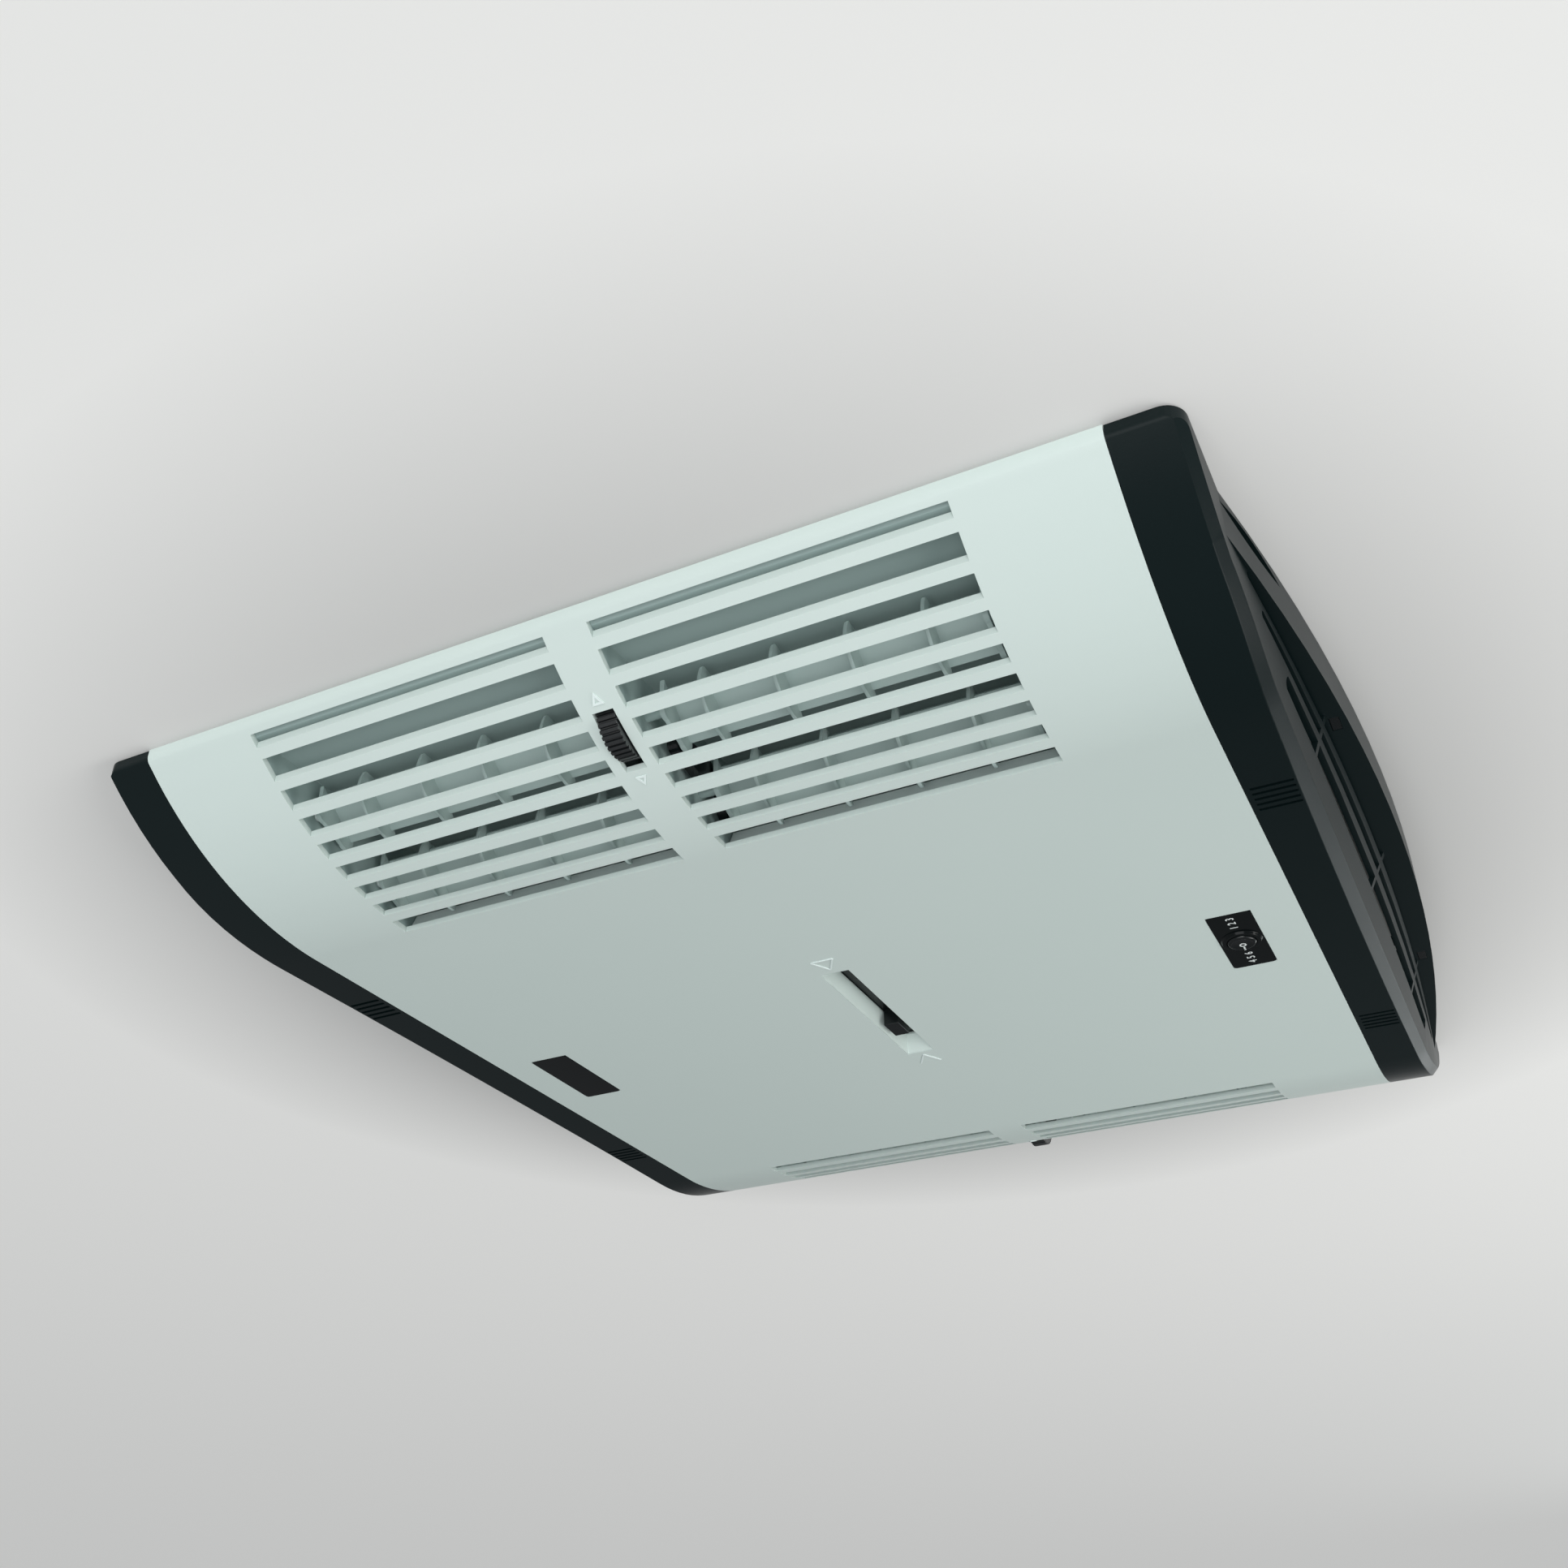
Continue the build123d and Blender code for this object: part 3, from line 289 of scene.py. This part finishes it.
def meshFinish(name, thread, gap, pitch):
    # woven filter mesh: two crossed waves
    material, tree, shader = nodeTree(name)
    place = addNode(tree, "ShaderNodeTexCoord")
    both = addNode(tree, "ShaderNodeMath", operation="MAXIMUM")
    for index, direction in enumerate(("Y", "Z")):
        wave = addNode(tree, "ShaderNodeTexWave", wave_type="BANDS", bands_direction=direction)
        wave.inputs["Scale"].default_value = math.pi * 0.1 / pitch
        tree.links.new(place.outputs["Object"], wave.inputs["Vector"])
        tree.links.new(wave.outputs["Fac"], both.inputs[index])
    blendColors(tree, shader, both.outputs[0], gap, thread)
    addBump(tree, shader, both.outputs[0], weaveSetup["bump"], weaveSetup["distance"])
    shader.inputs["Roughness"].default_value = weaveSetup["rough"]
    return material


look = {name: grainedFinish(name, **values) for name, values in finishes.items()}
look["collarSheet"] = brushedFinish("collarSheet", (0.62, 0.63, 0.65), 0.35, (1, 1, 30))
look["screwSteel"] = brushedFinish("screwSteel", (0.55, 0.55, 0.57), 0.32, (20, 20, 1))
look["filterWeave"] = meshFinish("filterWeave", (0.060, 0.063, 0.068), (0.012, 0.012, 0.013), 0.0011)
print("finishes made")

slotLook = {
    "white_plastic": "whiteShell",
    # painted shade: light plastic parts get the darkened duct plastic
    "light_plastic": "ductPlasticPaintedShade",
    "grey_plastic": "frameGrey",
    "black_plastic": "capBlack",
    "black_gloss": "plateBlack",
    "sheet_metal": "collarSheet",
    "steel": "screwSteel",
    "foam": "foamBlack",
    "filter_mat": "filterWeave",
    "board_green": "boardGreen",
}
nodeSlots = {entry["node"]: entry["material_slot"] for entry in frame["record"]["subparts"]}
nodeBodies = {node: body for body, nodes in frame["record"]["behaviour"]["bodies"].items() for node in nodes}


def addPiece(name, mesh, finish, body, replaced=()):
    # one mesh piece of the object, riding on its body
    piece = bpy.data.objects.new(name, mesh)
    bpy.context.scene.collection.objects.link(piece)
    mesh.materials.clear()
    mesh.materials.append(look[finish])
    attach(piece, body)
    if replaced:
        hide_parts(*replaced)


def smoothByAngle(mesh, degrees=34):
    # soft shading in which large faces keep their own direction
    mesh.shade_smooth()
    mesh.set_sharp_from_angle(angle=math.radians(degrees))
    limit = math.cos(math.radians(degrees))
    around = [[] for vertex in mesh.vertices]
    for face in mesh.polygons:
        for index in face.vertices:
            around[index].append((face.normal.copy(), face.area))
    normals = []
    for face in mesh.polygons:
        for index in face.vertices:
            total = Vector((0.0, 0.0, 0.0))
            for normal, area in around[index]:
                if normal.dot(face.normal) > limit:
                    total += normal * area
            normals.append(total.normalized() if total.length > 0 else face.normal.copy())
    mesh.normals_split_custom_set(normals)


def finishedMesh(name, bm):
    mesh = bpy.data.meshes.new(name)
    bm.to_mesh(mesh)
    bm.free()
    smoothByAngle(mesh)
    return mesh


def bevelSharpEdges(bm, width, degrees=32, segments=2):
    # rounds every edge that turns by more than the angle
    limit = math.radians(degrees)
    sharp = []
    for edge in bm.edges:
        if len(edge.link_faces) == 2 and edge.calc_face_angle(0) > limit:
            sharp.append(edge)
    bmesh.ops.bevel(bm, geom=sharp, offset=width, segments=segments, profile=0.5, affect="EDGES", clamp_overlap=True)


# rounding of the frame's own solids, in millimetres but for the weld and the angle
dressing = {"bevel": 0.30, "weld": 0.00002, "flat": 0.6}
nodeBevels = {
    "base_frame": 0.25, "duct_collar": 0.2, "ceiling_gasket": 0.5, "collar_seal": 1.2, "air_diverter": 0.2,
    "control_board": 0.1, "receiver_board": 0.1, "board_screws": 0.25, "cover_screws": 0.35,
    "knob_plate": 0.15, "receiver_window": 0.25, "right_end_cap": 0.35, "left_end_cap": 0.35,
}
capEdge = {"inner": 218.0, "outer": 232.0, "high": -25.0, "low": -46.4,
           "width": 1.7, "segments": 4, "sharp": (14, 62), "along": 0.8}


def roundCapEdge(bm):
    # turns the slanted lower edge of an end cap into a soft roll
    shape = capEdge
    low, high = shape["sharp"]
    chosen = []
    for edge in bm.edges:
        if len(edge.link_faces) != 2:
            continue
        ends = [vert.co * 1000 for vert in edge.verts]
        if not all(shape["inner"] < abs(p.x) < shape["outer"] and shape["low"] < p.z < shape["high"] for p in ends):
            continue
        span = ends[1] - ends[0]
        if abs(span.y) > shape["along"] * span.length and low < math.degrees(edge.calc_face_angle(0)) < high:
            chosen.append(edge)
    bmesh.ops.bevel(bm, geom=chosen, offset=mm(shape["width"]), segments=shape["segments"], profile=0.5,
                    affect="EDGES", clamp_overlap=True)


def dressedMesh(node):
    # a copy of the solid with welded, rounded edges
    bm = bmesh.new()
    bm.from_mesh(frame["nodes"][node].data)
    bmesh.ops.remove_doubles(bm, verts=bm.verts, dist=dressing["weld"])
    bmesh.ops.dissolve_degenerate(bm, edges=bm.edges, dist=dressing["weld"] / 2)
    bmesh.ops.dissolve_limit(bm, angle_limit=math.radians(dressing["flat"]), verts=bm.verts, edges=bm.edges)
    if node.endswith("_end_cap"):
        roundCapEdge(bm)
    bevelSharpEdges(bm, mm(nodeBevels.get(node, dressing["bevel"])))
    bmesh.ops.triangulate(bm, faces=[f for f in bm.faces if len(f.verts) > 4])
    return finishedMesh(node + "_dressed", bm)


# cover panel as one smooth skin; a slot is its outer and inner edge, a lip point is
# inset and rise of the outer side, then inset and height of the inner side
coverShape = {
    "height": 46.0, "halfDepth": 278.5, "flatHalf": 166.5, "radius": 172.7, "skin": 2.5, "halfWidth": 201.15,
    "cellInner": 9.4, "cellOuter": 148.0,
    "slots": [(275.6, 270.9), (267.1, 258.5), (254.7, 246.5), (242.5, 234.4), (230.2, 222.4),
              (218.0, 210.4), (205.6, 198.0), (193.2, 185.3), (179.9, 170.6)],
    "wheelHalf": 4.5, "wheelSpan": (222.7, 247.9),
    "recessHalf": 6.95, "recessEnd": 50.7,
    "knobPlate": (162.55, 181.85, 26.55), "window": (-182.65, -161.75, 26.5),
    "lip": [(1.05, -0.95, 0.02, -3.9), (0.42, 0.05, 0.0, -3.3), (0.08, 1.2, 0.0, -2.9), (0.0, 2.2, 0.0, -2.2)],
    "rowStep": 3.1, "rowClear": 1.2, "lastRow": 270,
    "edge": 0.3, "edgeAngle": 40,
}


def profileHeight(distance, inset=0.0):
    # height of the skin at a distance from the middle
    shape = coverShape
    radius = shape["radius"] - inset
    centre = shape["radius"] - shape["height"]
    beyond = max(0.0, abs(distance) - shape["flatHalf"])
    return centre - math.sqrt(max(0.0, radius ** 2 - beyond ** 2))


def profileSlope(distance):
    beyond = max(0.0, abs(distance) - coverShape["flatHalf"])
    return math.copysign(math.asin(min(1.0, beyond / coverShape["radius"])), distance)


def inRange(value, low, high, slack=0.01):
    return low - slack < value < high + slack


def isOpening(x, y):
    # whether the middle of a grid cell lies in one of the openings
    shape = coverShape
    far = abs(y)
    if inRange(abs(x), shape["cellInner"], shape["cellOuter"]):
        return any(inRange(far, inner, outer) for outer, inner in shape["slots"])
    if abs(x) < shape["wheelHalf"] and inRange(far, *shape["wheelSpan"]):
        return True
    if abs(x) < shape["recessHalf"] and far < shape["recessEnd"]:
        return True
    return any(low < x < high and far < half for low, high, half in (shape["knobPlate"], shape["window"]))


def coverColumns():
    shape = coverShape
    columns = {-shape["halfWidth"], shape["halfWidth"]}
    for value in (shape["cellInner"], shape["cellOuter"], shape["wheelHalf"], shape["recessHalf"]):
        columns |= {value, -value}
    for low, high, half in (shape["knobPlate"], shape["window"]):
        columns |= {low, high}
    return sorted(columns)


def coverRows():
    # outer y and z, then inner y and z, from the rear lip to the front lip
    shape = coverShape
    marked = {0.0, shape["recessEnd"], shape["knobPlate"][2], shape["window"][2], shape["flatHalf"], *shape["wheelSpan"]}
    for outer, inner in shape["slots"]:
        marked |= {outer, inner}
    step = shape["flatHalf"]
    while step < shape["lastRow"]:
        step += shape["rowStep"]
        if all(abs(step - mark) > shape["rowClear"] for mark in marked):
            marked.add(step)
    half = [(y, profileHeight(y), y, profileHeight(y, shape["skin"])) for y in sorted(marked)]
    lipAngle = math.asin((shape["halfDepth"] - shape["flatHalf"]) / shape["radius"])
    lipZ = shape["radius"] - shape["height"] - shape["radius"] * math.cos(lipAngle)
    wall = shape["halfDepth"]
    innerWall = wall - shape["skin"]
    for inset, rise, innerInset, innerHeight in shape["lip"]:
        half.append((wall - inset, lipZ + rise, innerWall - innerInset, innerHeight))
    half.append((wall, 0.0, innerWall, 0.0))
    return [(-yo, zo, -yi, zi) for yo, zo, yi, zi in reversed(half[1:])] + half


def buildCover():
    xLines, rows = coverColumns(), coverRows()
    bm = bmesh.new()
    outerGrid = [[bm.verts.new((mm(x), mm(yo), mm(zo))) for x in xLines] for yo, zo, yi, zi in rows]
    innerGrid = [[bm.verts.new((mm(x), mm(yi), mm(zi))) for x in xLines] for yo, zo, yi, zi in rows]
    lastRow, lastColumn = len(rows) - 1, len(xLines) - 1

    def solid(row, column):
        if row < 0 or column < 0 or row >= lastRow or column >= lastColumn:
            return False
        x = (xLines[column] + xLines[column + 1]) / 2
        y = (rows[row][0] + rows[row + 1][0]) / 2
        return not isOpening(x, y)

    for row in range(lastRow):
        for column in range(lastColumn):
            if not solid(row, column):
                continue
            a, b = outerGrid[row][column], outerGrid[row][column + 1]
            c, d = outerGrid[row + 1][column + 1], outerGrid[row + 1][column]
            e, f = innerGrid[row][column], innerGrid[row][column + 1]
            g, h = innerGrid[row + 1][column + 1], innerGrid[row + 1][column]
            bm.faces.new((a, d, c, b))
            bm.faces.new((e, f, g, h))
            if not solid(row - 1, column):
                bm.faces.new((a, b, f, e))
            if not solid(row + 1, column):
                bm.faces.new((c, d, h, g))
            if not solid(row, column - 1):
                bm.faces.new((d, a, e, h))
            if not solid(row, column + 1):
                bm.faces.new((b, c, g, f))
    bmesh.ops.delete(bm, geom=[v for v in bm.verts if not v.link_faces], context="VERTS")
    bmesh.ops.recalc_face_normals(bm, faces=bm.faces)
    bevelSharpEdges(bm, mm(coverShape["edge"]), coverShape["edgeAngle"])
    return finishedMesh("coverSkin", bm)


addPiece("coverSkin", buildCover(), "whiteShell", "housing", ("cover_panel",))
print("cover skin built")


def solidFromLoops(name, loops, closedEnds=True, edge=0.0):
    # skin between matching rings of points, in millimetres
    bm = bmesh.new()
    rings = [[bm.verts.new([mm(v) for v in point]) for point in loop] for loop in loops]
    count = len(loops[0])
    for first, second in zip(rings, rings[1:]):
        for i in range(count):
            j = (i + 1) % count
            bm.faces.new((first[i], first[j], second[j], second[i]))
    if closedEnds:
        bm.faces.new(list(reversed(rings[0])))
        bm.faces.new(rings[-1])
    bmesh.ops.recalc_face_normals(bm, faces=bm.faces)
    if edge:
        bevelSharpEdges(bm, mm(edge))
    return finishedMesh(name, bm)


def joinedMesh(name, meshes):
    bm = bmesh.new()
    for mesh in meshes:
        bm.from_mesh(mesh)
        bpy.data.meshes.remove(mesh)
    return finishedMesh(name, bm)


def rectangle(cx, cy, halfX, halfY, z):
    return [(cx - halfX, cy - halfY, z), (cx + halfX, cy - halfY, z), (cx + halfX, cy + halfY, z), (cx - halfX, cy + halfY, z)]


def circlePoints(centre, radius, steps=28):
    points = []
    for i in range(steps):
        angle = math.tau * i / steps
        points.append((centre[0] + radius * math.cos(angle), centre[1] + radius * math.sin(angle)))
    return points


# sloping sills behind the last slot of each outlet
sills = {"section": [(168.9, -44.2), (165.5, -36.0), (163.5, -36.0), (166.1, -44.2)], "inner": 9.7, "outer": 147.7, "edge": 0.25}


def buildSills():
    pieces = []
    for hand in (-1, 1):
        for side in (-1, 1):
            loops = [[(hand * x, side * y, z) for y, z in sills["section"]] for x in (sills["inner"], sills["outer"])]
            pieces.append(solidFromLoops("sill", loops, True, sills["edge"]))
    return joinedMesh("slotSills", pieces)


# painted highlight: the sills get the brighter copy of the shell plastic
addPiece("slotSills", buildSills(), "shellPaintedHighlight", "housing")

# louvre blades with curved fins; outlines are y and z from the pivot
louvreShape = {
    "pivots": {"upper": (-232.4, -21.4), "lower": (-191.0, -31.9)},
    "strip": [(-1.3, 8.8), (16.3, -5.1)], "thick": 1.8, "stripEdge": 0.35,
    "outer": 145.5, "inner": {"left": 12.0, "right": 17.0},
    "ear": 2.0, "earTip": (-4.4, 11.3), "earRadius": 4.0, "earEdge": 0.25, "bossProud": 0.01,
    "crank": (14.1, -5.4), "crankRadius": 3.6,
    "pin": 2.0, "pinStart": 12.0, "pinSunk": 0.3, "pinEdge": 0.2,
    "fins": (34.6, 64.1, 93.5, 123.0), "finHalf": 0.75, "finEdge": 0.3,
    "finOutline": [(-4.2, 12.0), (-5.9, 6.4), (-5.6, 2.6), (-2.6, -1.1), (1.5, -5.0), (6.7, -7.6), (11.1, -8.7),
                   (17.1, -9.9), (21.0, -9.2), (18.2, -4.4), (10.4, 3.6), (4.2, 11.0), (-1.5, 12.6)],
}
# a tooth is its top, slope, root and slope as shares of the pitch
wheelShape = {"radius": 14.15, "half": 4.0, "teeth": 36, "groove": 1.05, "top": 0.56, "slope": 0.1, "root": 0.9, "edge": 0.16}


def roundedOutline(points, steps=4):
    # smooth closed curve through the points
    outline = []
    count = len(points)
    for i in range(count):
        p0, p1, p2, p3 = (Vector(points[(i + k) % count]) for k in (-1, 0, 1, 2))
        for step in range(steps):
            t = step / steps
            spot = 0.5 * (2 * p1 + (p2 - p0) * t + (2 * p0 - 5 * p1 + 4 * p2 - p3) * t * t + (3 * p1 - p0 - 3 * p2 + p3) * t ** 3)
            outline.append((spot.x, spot.y))
    return outline


def buildBlade(side, level, handName):
    # strip, two ears and four fins on one louvre axis
    shape = louvreShape
    pivotY, pivotZ = shape["pivots"][level]
    hand = 1 if handName == "right" else -1
    solids = []

    def addPrism(points, start, end, edge):
        loops = [[(hand * x, side * (pivotY + y), pivotZ + z) for y, z in points] for x in (start, end)]
        solids.append(solidFromLoops("louvrePrism", loops, True, edge))

    inner, proud = shape["inner"][handName], shape["bossProud"]
    first, last = (Vector(point) for point in shape["strip"])
    lift = Vector((-(last - first).y, (last - first).x)).normalized() * shape["thick"]
    addPrism([tuple(p) for p in (first, last, last + lift, first + lift)], inner, shape["outer"], shape["stripEdge"])
    crank, radius = shape["crank"], shape["earRadius"]
    ear = [shape["earTip"], shape["strip"][1], (crank[0], crank[1] - shape["crankRadius"]), (0.0, -radius), (-radius, 0.0)]
    for start in (inner, shape["outer"] - shape["ear"]):
        end = start + shape["ear"]
        addPrism(ear, start, end, shape["earEdge"])
        addPrism(circlePoints((0, 0), radius), start - proud, end + proud, 0)
        addPrism(circlePoints(crank, shape["crankRadius"]), start - proud, end + proud, 0)
    for fin in shape["fins"]:
        addPrism(roundedOutline(shape["finOutline"]), fin - shape["finHalf"], fin + shape["finHalf"], shape["finEdge"])
    if handName == "right":
        addPrism(circlePoints(crank, shape["pin"]), shape["pinStart"], inner + shape["pinSunk"], shape["pinEdge"])
    return joinedMesh("blade", solids)


def buildWheel(side):
    # toothed rim, as wide as its window allows
    shape = wheelShape
    pivotY, pivotZ = louvreShape["pivots"]["upper"]
    tip, root = shape["radius"], shape["radius"] - shape["groove"]
    corners = ((0.0, tip), (shape["top"], tip), (shape["top"] + shape["slope"], root), (shape["root"], root))
    loops = []
    for x in (-shape["half"], shape["half"]):
        loop = []
        for tooth in range(shape["teeth"]):
            for share, reach in corners:
                angle = math.tau * (tooth + share) / shape["teeth"]
                loop.append((x, side * (pivotY + reach * math.cos(angle)), pivotZ + reach * math.sin(angle)))
        loops.append(loop)
    return joinedMesh("wheel", [solidFromLoops("louvrePrism", loops, True, shape["edge"])])


handMade = {"cover_panel", "control_knob"}
for sideName, side in (("front", 1), ("rear", -1)):
    for level in ("upper", "lower"):
        for handName in ("left", "right"):
            node = f"{sideName}_{level}_blade_{handName}"
            blade = buildBlade(side, level, handName)
            # painted shade: the blades get the darkened plastic
            addPiece(node + "Shape", blade, "bladePlasticPaintedShade", f"{sideName}_{level}_louvre", (node,))
            handMade.add(node)
    wheel, body = f"{sideName}_wheel", f"{sideName}_upper_louvre"
    addPiece(f"{sideName}WheelShape", buildWheel(side), "wheelBlack", body, (wheel,))
    handMade.add(wheel)
print("louvres built")

# pocket with sloping sides under the lever
recess = {"half": 6.95, "end": 50.7, "slitHalf": 4.2, "slitEnd": 42.8, "top": -37.6, "slitEdge": 1.2,
          "mouth": 0.3, "lip": 1.6, "edge": 0.25}


def buildRecess():
    half, end, lip, top = recess["half"], recess["end"], recess["lip"], recess["top"]
    low = -coverShape["height"]
    loops = []
    for halfX, halfY, z in ((half + lip, end + lip, low + coverShape["skin"]), (half + lip, end + lip, top),
                            (recess["slitHalf"], recess["slitEnd"], top),
                            (recess["slitHalf"], recess["slitEnd"], top - recess["slitEdge"]),
                            (half, end, low + recess["mouth"]), (half, end, low + coverShape["skin"]),
                            (half + lip, end + lip, low + coverShape["skin"])):
        loops.append(rectangle(0, 0, halfX, halfY, z))
    return solidFromLoops("leverPocket", loops, False, recess["edge"])


addPiece("leverPocket", buildRecess(), "whiteShell", "housing")

# raised marks at both ends of the recess
marks = {"line": 0.85, "rise": 0.42, "sunk": 0.1, "base": -45.9, "edgeShare": 0.4, "half": 5.4,
         "frontBase": -64.5, "frontApex": -54.8, "rearApex": 53.7, "rearEnd": 63.5}


def strokeMesh(start, end):
    start, end = Vector(start), Vector(end)
    direction = (end - start).normalized()
    across = Vector((-direction.y, direction.x)) * marks["line"] / 2
    corners = [start - across, end - across, end + across, start + across]
    rise = marks["rise"] + marks["sunk"]
    loops = [[(p.x, p.y, z) for p in corners] for z in (marks["base"], marks["base"] - rise)]
    return solidFromLoops("stroke", loops, True, rise * marks["edgeShare"])


def buildDirectionMarks():
    apex, base, half = marks["frontApex"], marks["frontBase"], marks["half"]
    strokes = [((-half, base), (half, base)), ((-half, base), (0, apex)), ((half, base), (0, apex)),
               ((0, marks["rearApex"]), (-half, marks["rearEnd"])), ((0, marks["rearApex"]), (half, marks["rearEnd"]))]
    return joinedMesh("directionMarks", [strokeMesh(start, end) for start, end in strokes])


# painted highlight: the direction marks get the brighter copy of the shell plastic
addPiece("directionMarks", buildDirectionMarks(), "shellPaintedHighlight", "housing")

# small raised triangles at both ends of the wheel windows, each as base and apex
wheelMarks = {"spans": [(250.5, 254.9), (219.9, 215.6)], "half": 2.4, "rise": 0.4, "sunk": 0.4, "hollow": 0.45}


def buildWheelMarks():
    shape = wheelMarks
    rise, sunk, share = shape["rise"], -shape["sunk"], shape["hollow"]
    solids = []
    for side in (-1, 1):
        for base, apex in shape["spans"]:
            corners = [(-shape["half"], base), (shape["half"], base), (0.0, apex)]
            middle = (2 * base + apex) / 3
            hollow = [(x * share, middle + (y - middle) * share) for x, y in corners]
            loops = []
            for outline, lift in ((corners, sunk), (corners, rise), (hollow, rise), (hollow, sunk), (corners, sunk)):
                loop = []
                for x, y in outline:
                    slope = profileSlope(y)
                    loop.append((x, side * (y + lift * math.sin(slope)), profileHeight(y) - lift * math.cos(slope)))
                loops.append(loop)
            solids.append(solidFromLoops("wheelMark", loops, False))
    return joinedMesh("wheelMarks", solids)


# painted highlight: the wheel marks get the brighter copy of the shell plastic
addPiece("wheelMarks", buildWheelMarks(), "shellPaintedHighlight", "housing")

# knob with its pointer and ring; the rim is inset and lift, the dish is offset and lift
knobShape = {
    "x": 172.2, "y": -0.5, "radius": 6.2, "top": -48.2, "base": -46.5, "steps": 64,
    "stem": (3.0, -33.0), "foot": (0.35, 0.3), "rim": [(0.0, 0.95), (0.12, 0.55), (0.45, 0.2), (1.0, 0.0)],
    "dish": 4.6, "dishSteps": [(0.3, 0.0), (0.0, 0.1), (-0.5, 0.32)], "face": [(1.0, 0.36), (0.3, 0.36)],
    "ring": 1.2, "ringHalf": 0.3, "ringPlace": 1.3, "ringLifts": (0.5, 0.24), "ringSteps": 32,
    "pointer": (0.7, 3.4, 6.0), "pointerLifts": (0.3, 0.01),
}


def turnedMesh(name, centre, profile, steps, closedEnds=True):
    # round piece from a list of radius and height
    loops = [[(x, y, z) for x, y in circlePoints(centre, radius, steps)] for radius, z in profile]
    return solidFromLoops(name, loops, closedEnds)


def buildKnob():
    shape = knobShape
    top, base, radius, dish = shape["top"], shape["base"], shape["radius"], shape["dish"]
    stemRadius, stemTop = shape["stem"]
    footInset, footRise = shape["foot"]
    profile = [(stemRadius, stemTop), (stemRadius, base), (radius - footInset, base), (radius, base - footRise)]
    profile += [(radius - inset, top + lift) for inset, lift in shape["rim"]]
    profile += [(dish + offset, top + lift) for offset, lift in shape["dishSteps"]]
    profile += [(reach, top + lift) for reach, lift in shape["face"]]
    return turnedMesh("knobCap", (shape["x"], shape["y"]), profile, shape["steps"])


def buildKnobPointer():
    shape = knobShape
    wide, near, far = shape["pointer"]
    loops = [rectangle(shape["x"], shape["y"] + (near + far) / 2, wide / 2, (far - near) / 2, shape["top"] + lift)
             for lift in shape["pointerLifts"]]
    return solidFromLoops("knobPointer", loops)


def buildKnobRing():
    shape = knobShape
    outer, inner = shape["ring"] + shape["ringHalf"], shape["ring"] - shape["ringHalf"]
    low, high = (shape["top"] + lift for lift in shape["ringLifts"])
    profile = [(outer, low), (outer, high), (inner, high), (inner, low), (outer, low)]
    return turnedMesh("knobRing", (shape["x"], shape["y"] + shape["ringPlace"]), profile, shape["ringSteps"], False)


addPiece("knobCap", buildKnob(), "barBlack", "knob", ("control_knob",))
addPiece("knobPointer", buildKnobPointer(), "markWhite", "knob")
addPiece("knobRing", buildKnobRing(), "markWhite", "knob")

# plain numbers on the knob's plate
numberMarks = {"rows": [("123", -18.0), ("456", 17.6)], "pitch": 4.3, "size": 4.9, "face": -46.22,
               "weight": 0.04, "thick": 0.03, "curveSteps": 4}


def digitMesh(text, x, y):
    # one number in the built-in type, turned to read along the plate from below
    curve = bpy.data.curves.new("digit", "FONT")
    curve.body = text
    curve.size = mm(numberMarks["size"])
    curve.align_x = "CENTER"
    curve.align_y = "CENTER"
    curve.extrude = mm(numberMarks["thick"])
    curve.offset = mm(numberMarks["weight"])
    curve.resolution_u = numberMarks["curveSteps"]
    holder = bpy.data.objects.new("digit", curve)
    mesh = bpy.data.meshes.new_from_object(holder)
    bpy.data.objects.remove(holder)
    turned = Matrix(((0, -1, 0, mm(x)), (-1, 0, 0, mm(y)), (0, 0, -1, mm(numberMarks["face"])), (0, 0, 0, 1)))
    mesh.transform(turned)
    return mesh


def buildNumbers():
    digits = []
    for row, middle in numberMarks["rows"]:
        for index, text in enumerate(row):
            digits.append(digitMesh(text, knobShape["x"], middle - (index - 1) * numberMarks["pitch"]))
    return joinedMesh("knobNumbers", digits)


addPiece("knobNumbers", buildNumbers(), "markWhite", "housing")

# every other part of the frame, with rounded edges and its finish
lookByNode = {"rotary_control": "screwSteel"}
for nodeName in ("slider_shield", "slider_lever", "front_link_bar", "rear_link_bar", "front_wheel", "rear_wheel",
                 "right_cap_clips", "left_cap_clips"):
    lookByNode[nodeName] = "barBlack"
for nodeName in sorted(frame["nodes"]):
    slotName = nodeSlots[nodeName]
    finishName = lookByNode.get(nodeName, slotLook[slotName])
    if nodeName.endswith("_pins"):
        finishName = "pinPlastic"
    cadMesh = frame["nodes"][nodeName].data
    cadMesh.materials.clear()
    cadMesh.materials.append(look[finishName])
    if nodeName not in handMade:
        addPiece(nodeName + "Dressed", dressedMesh(nodeName), finishName, nodeBodies[nodeName], (nodeName,))
print("parts dressed")
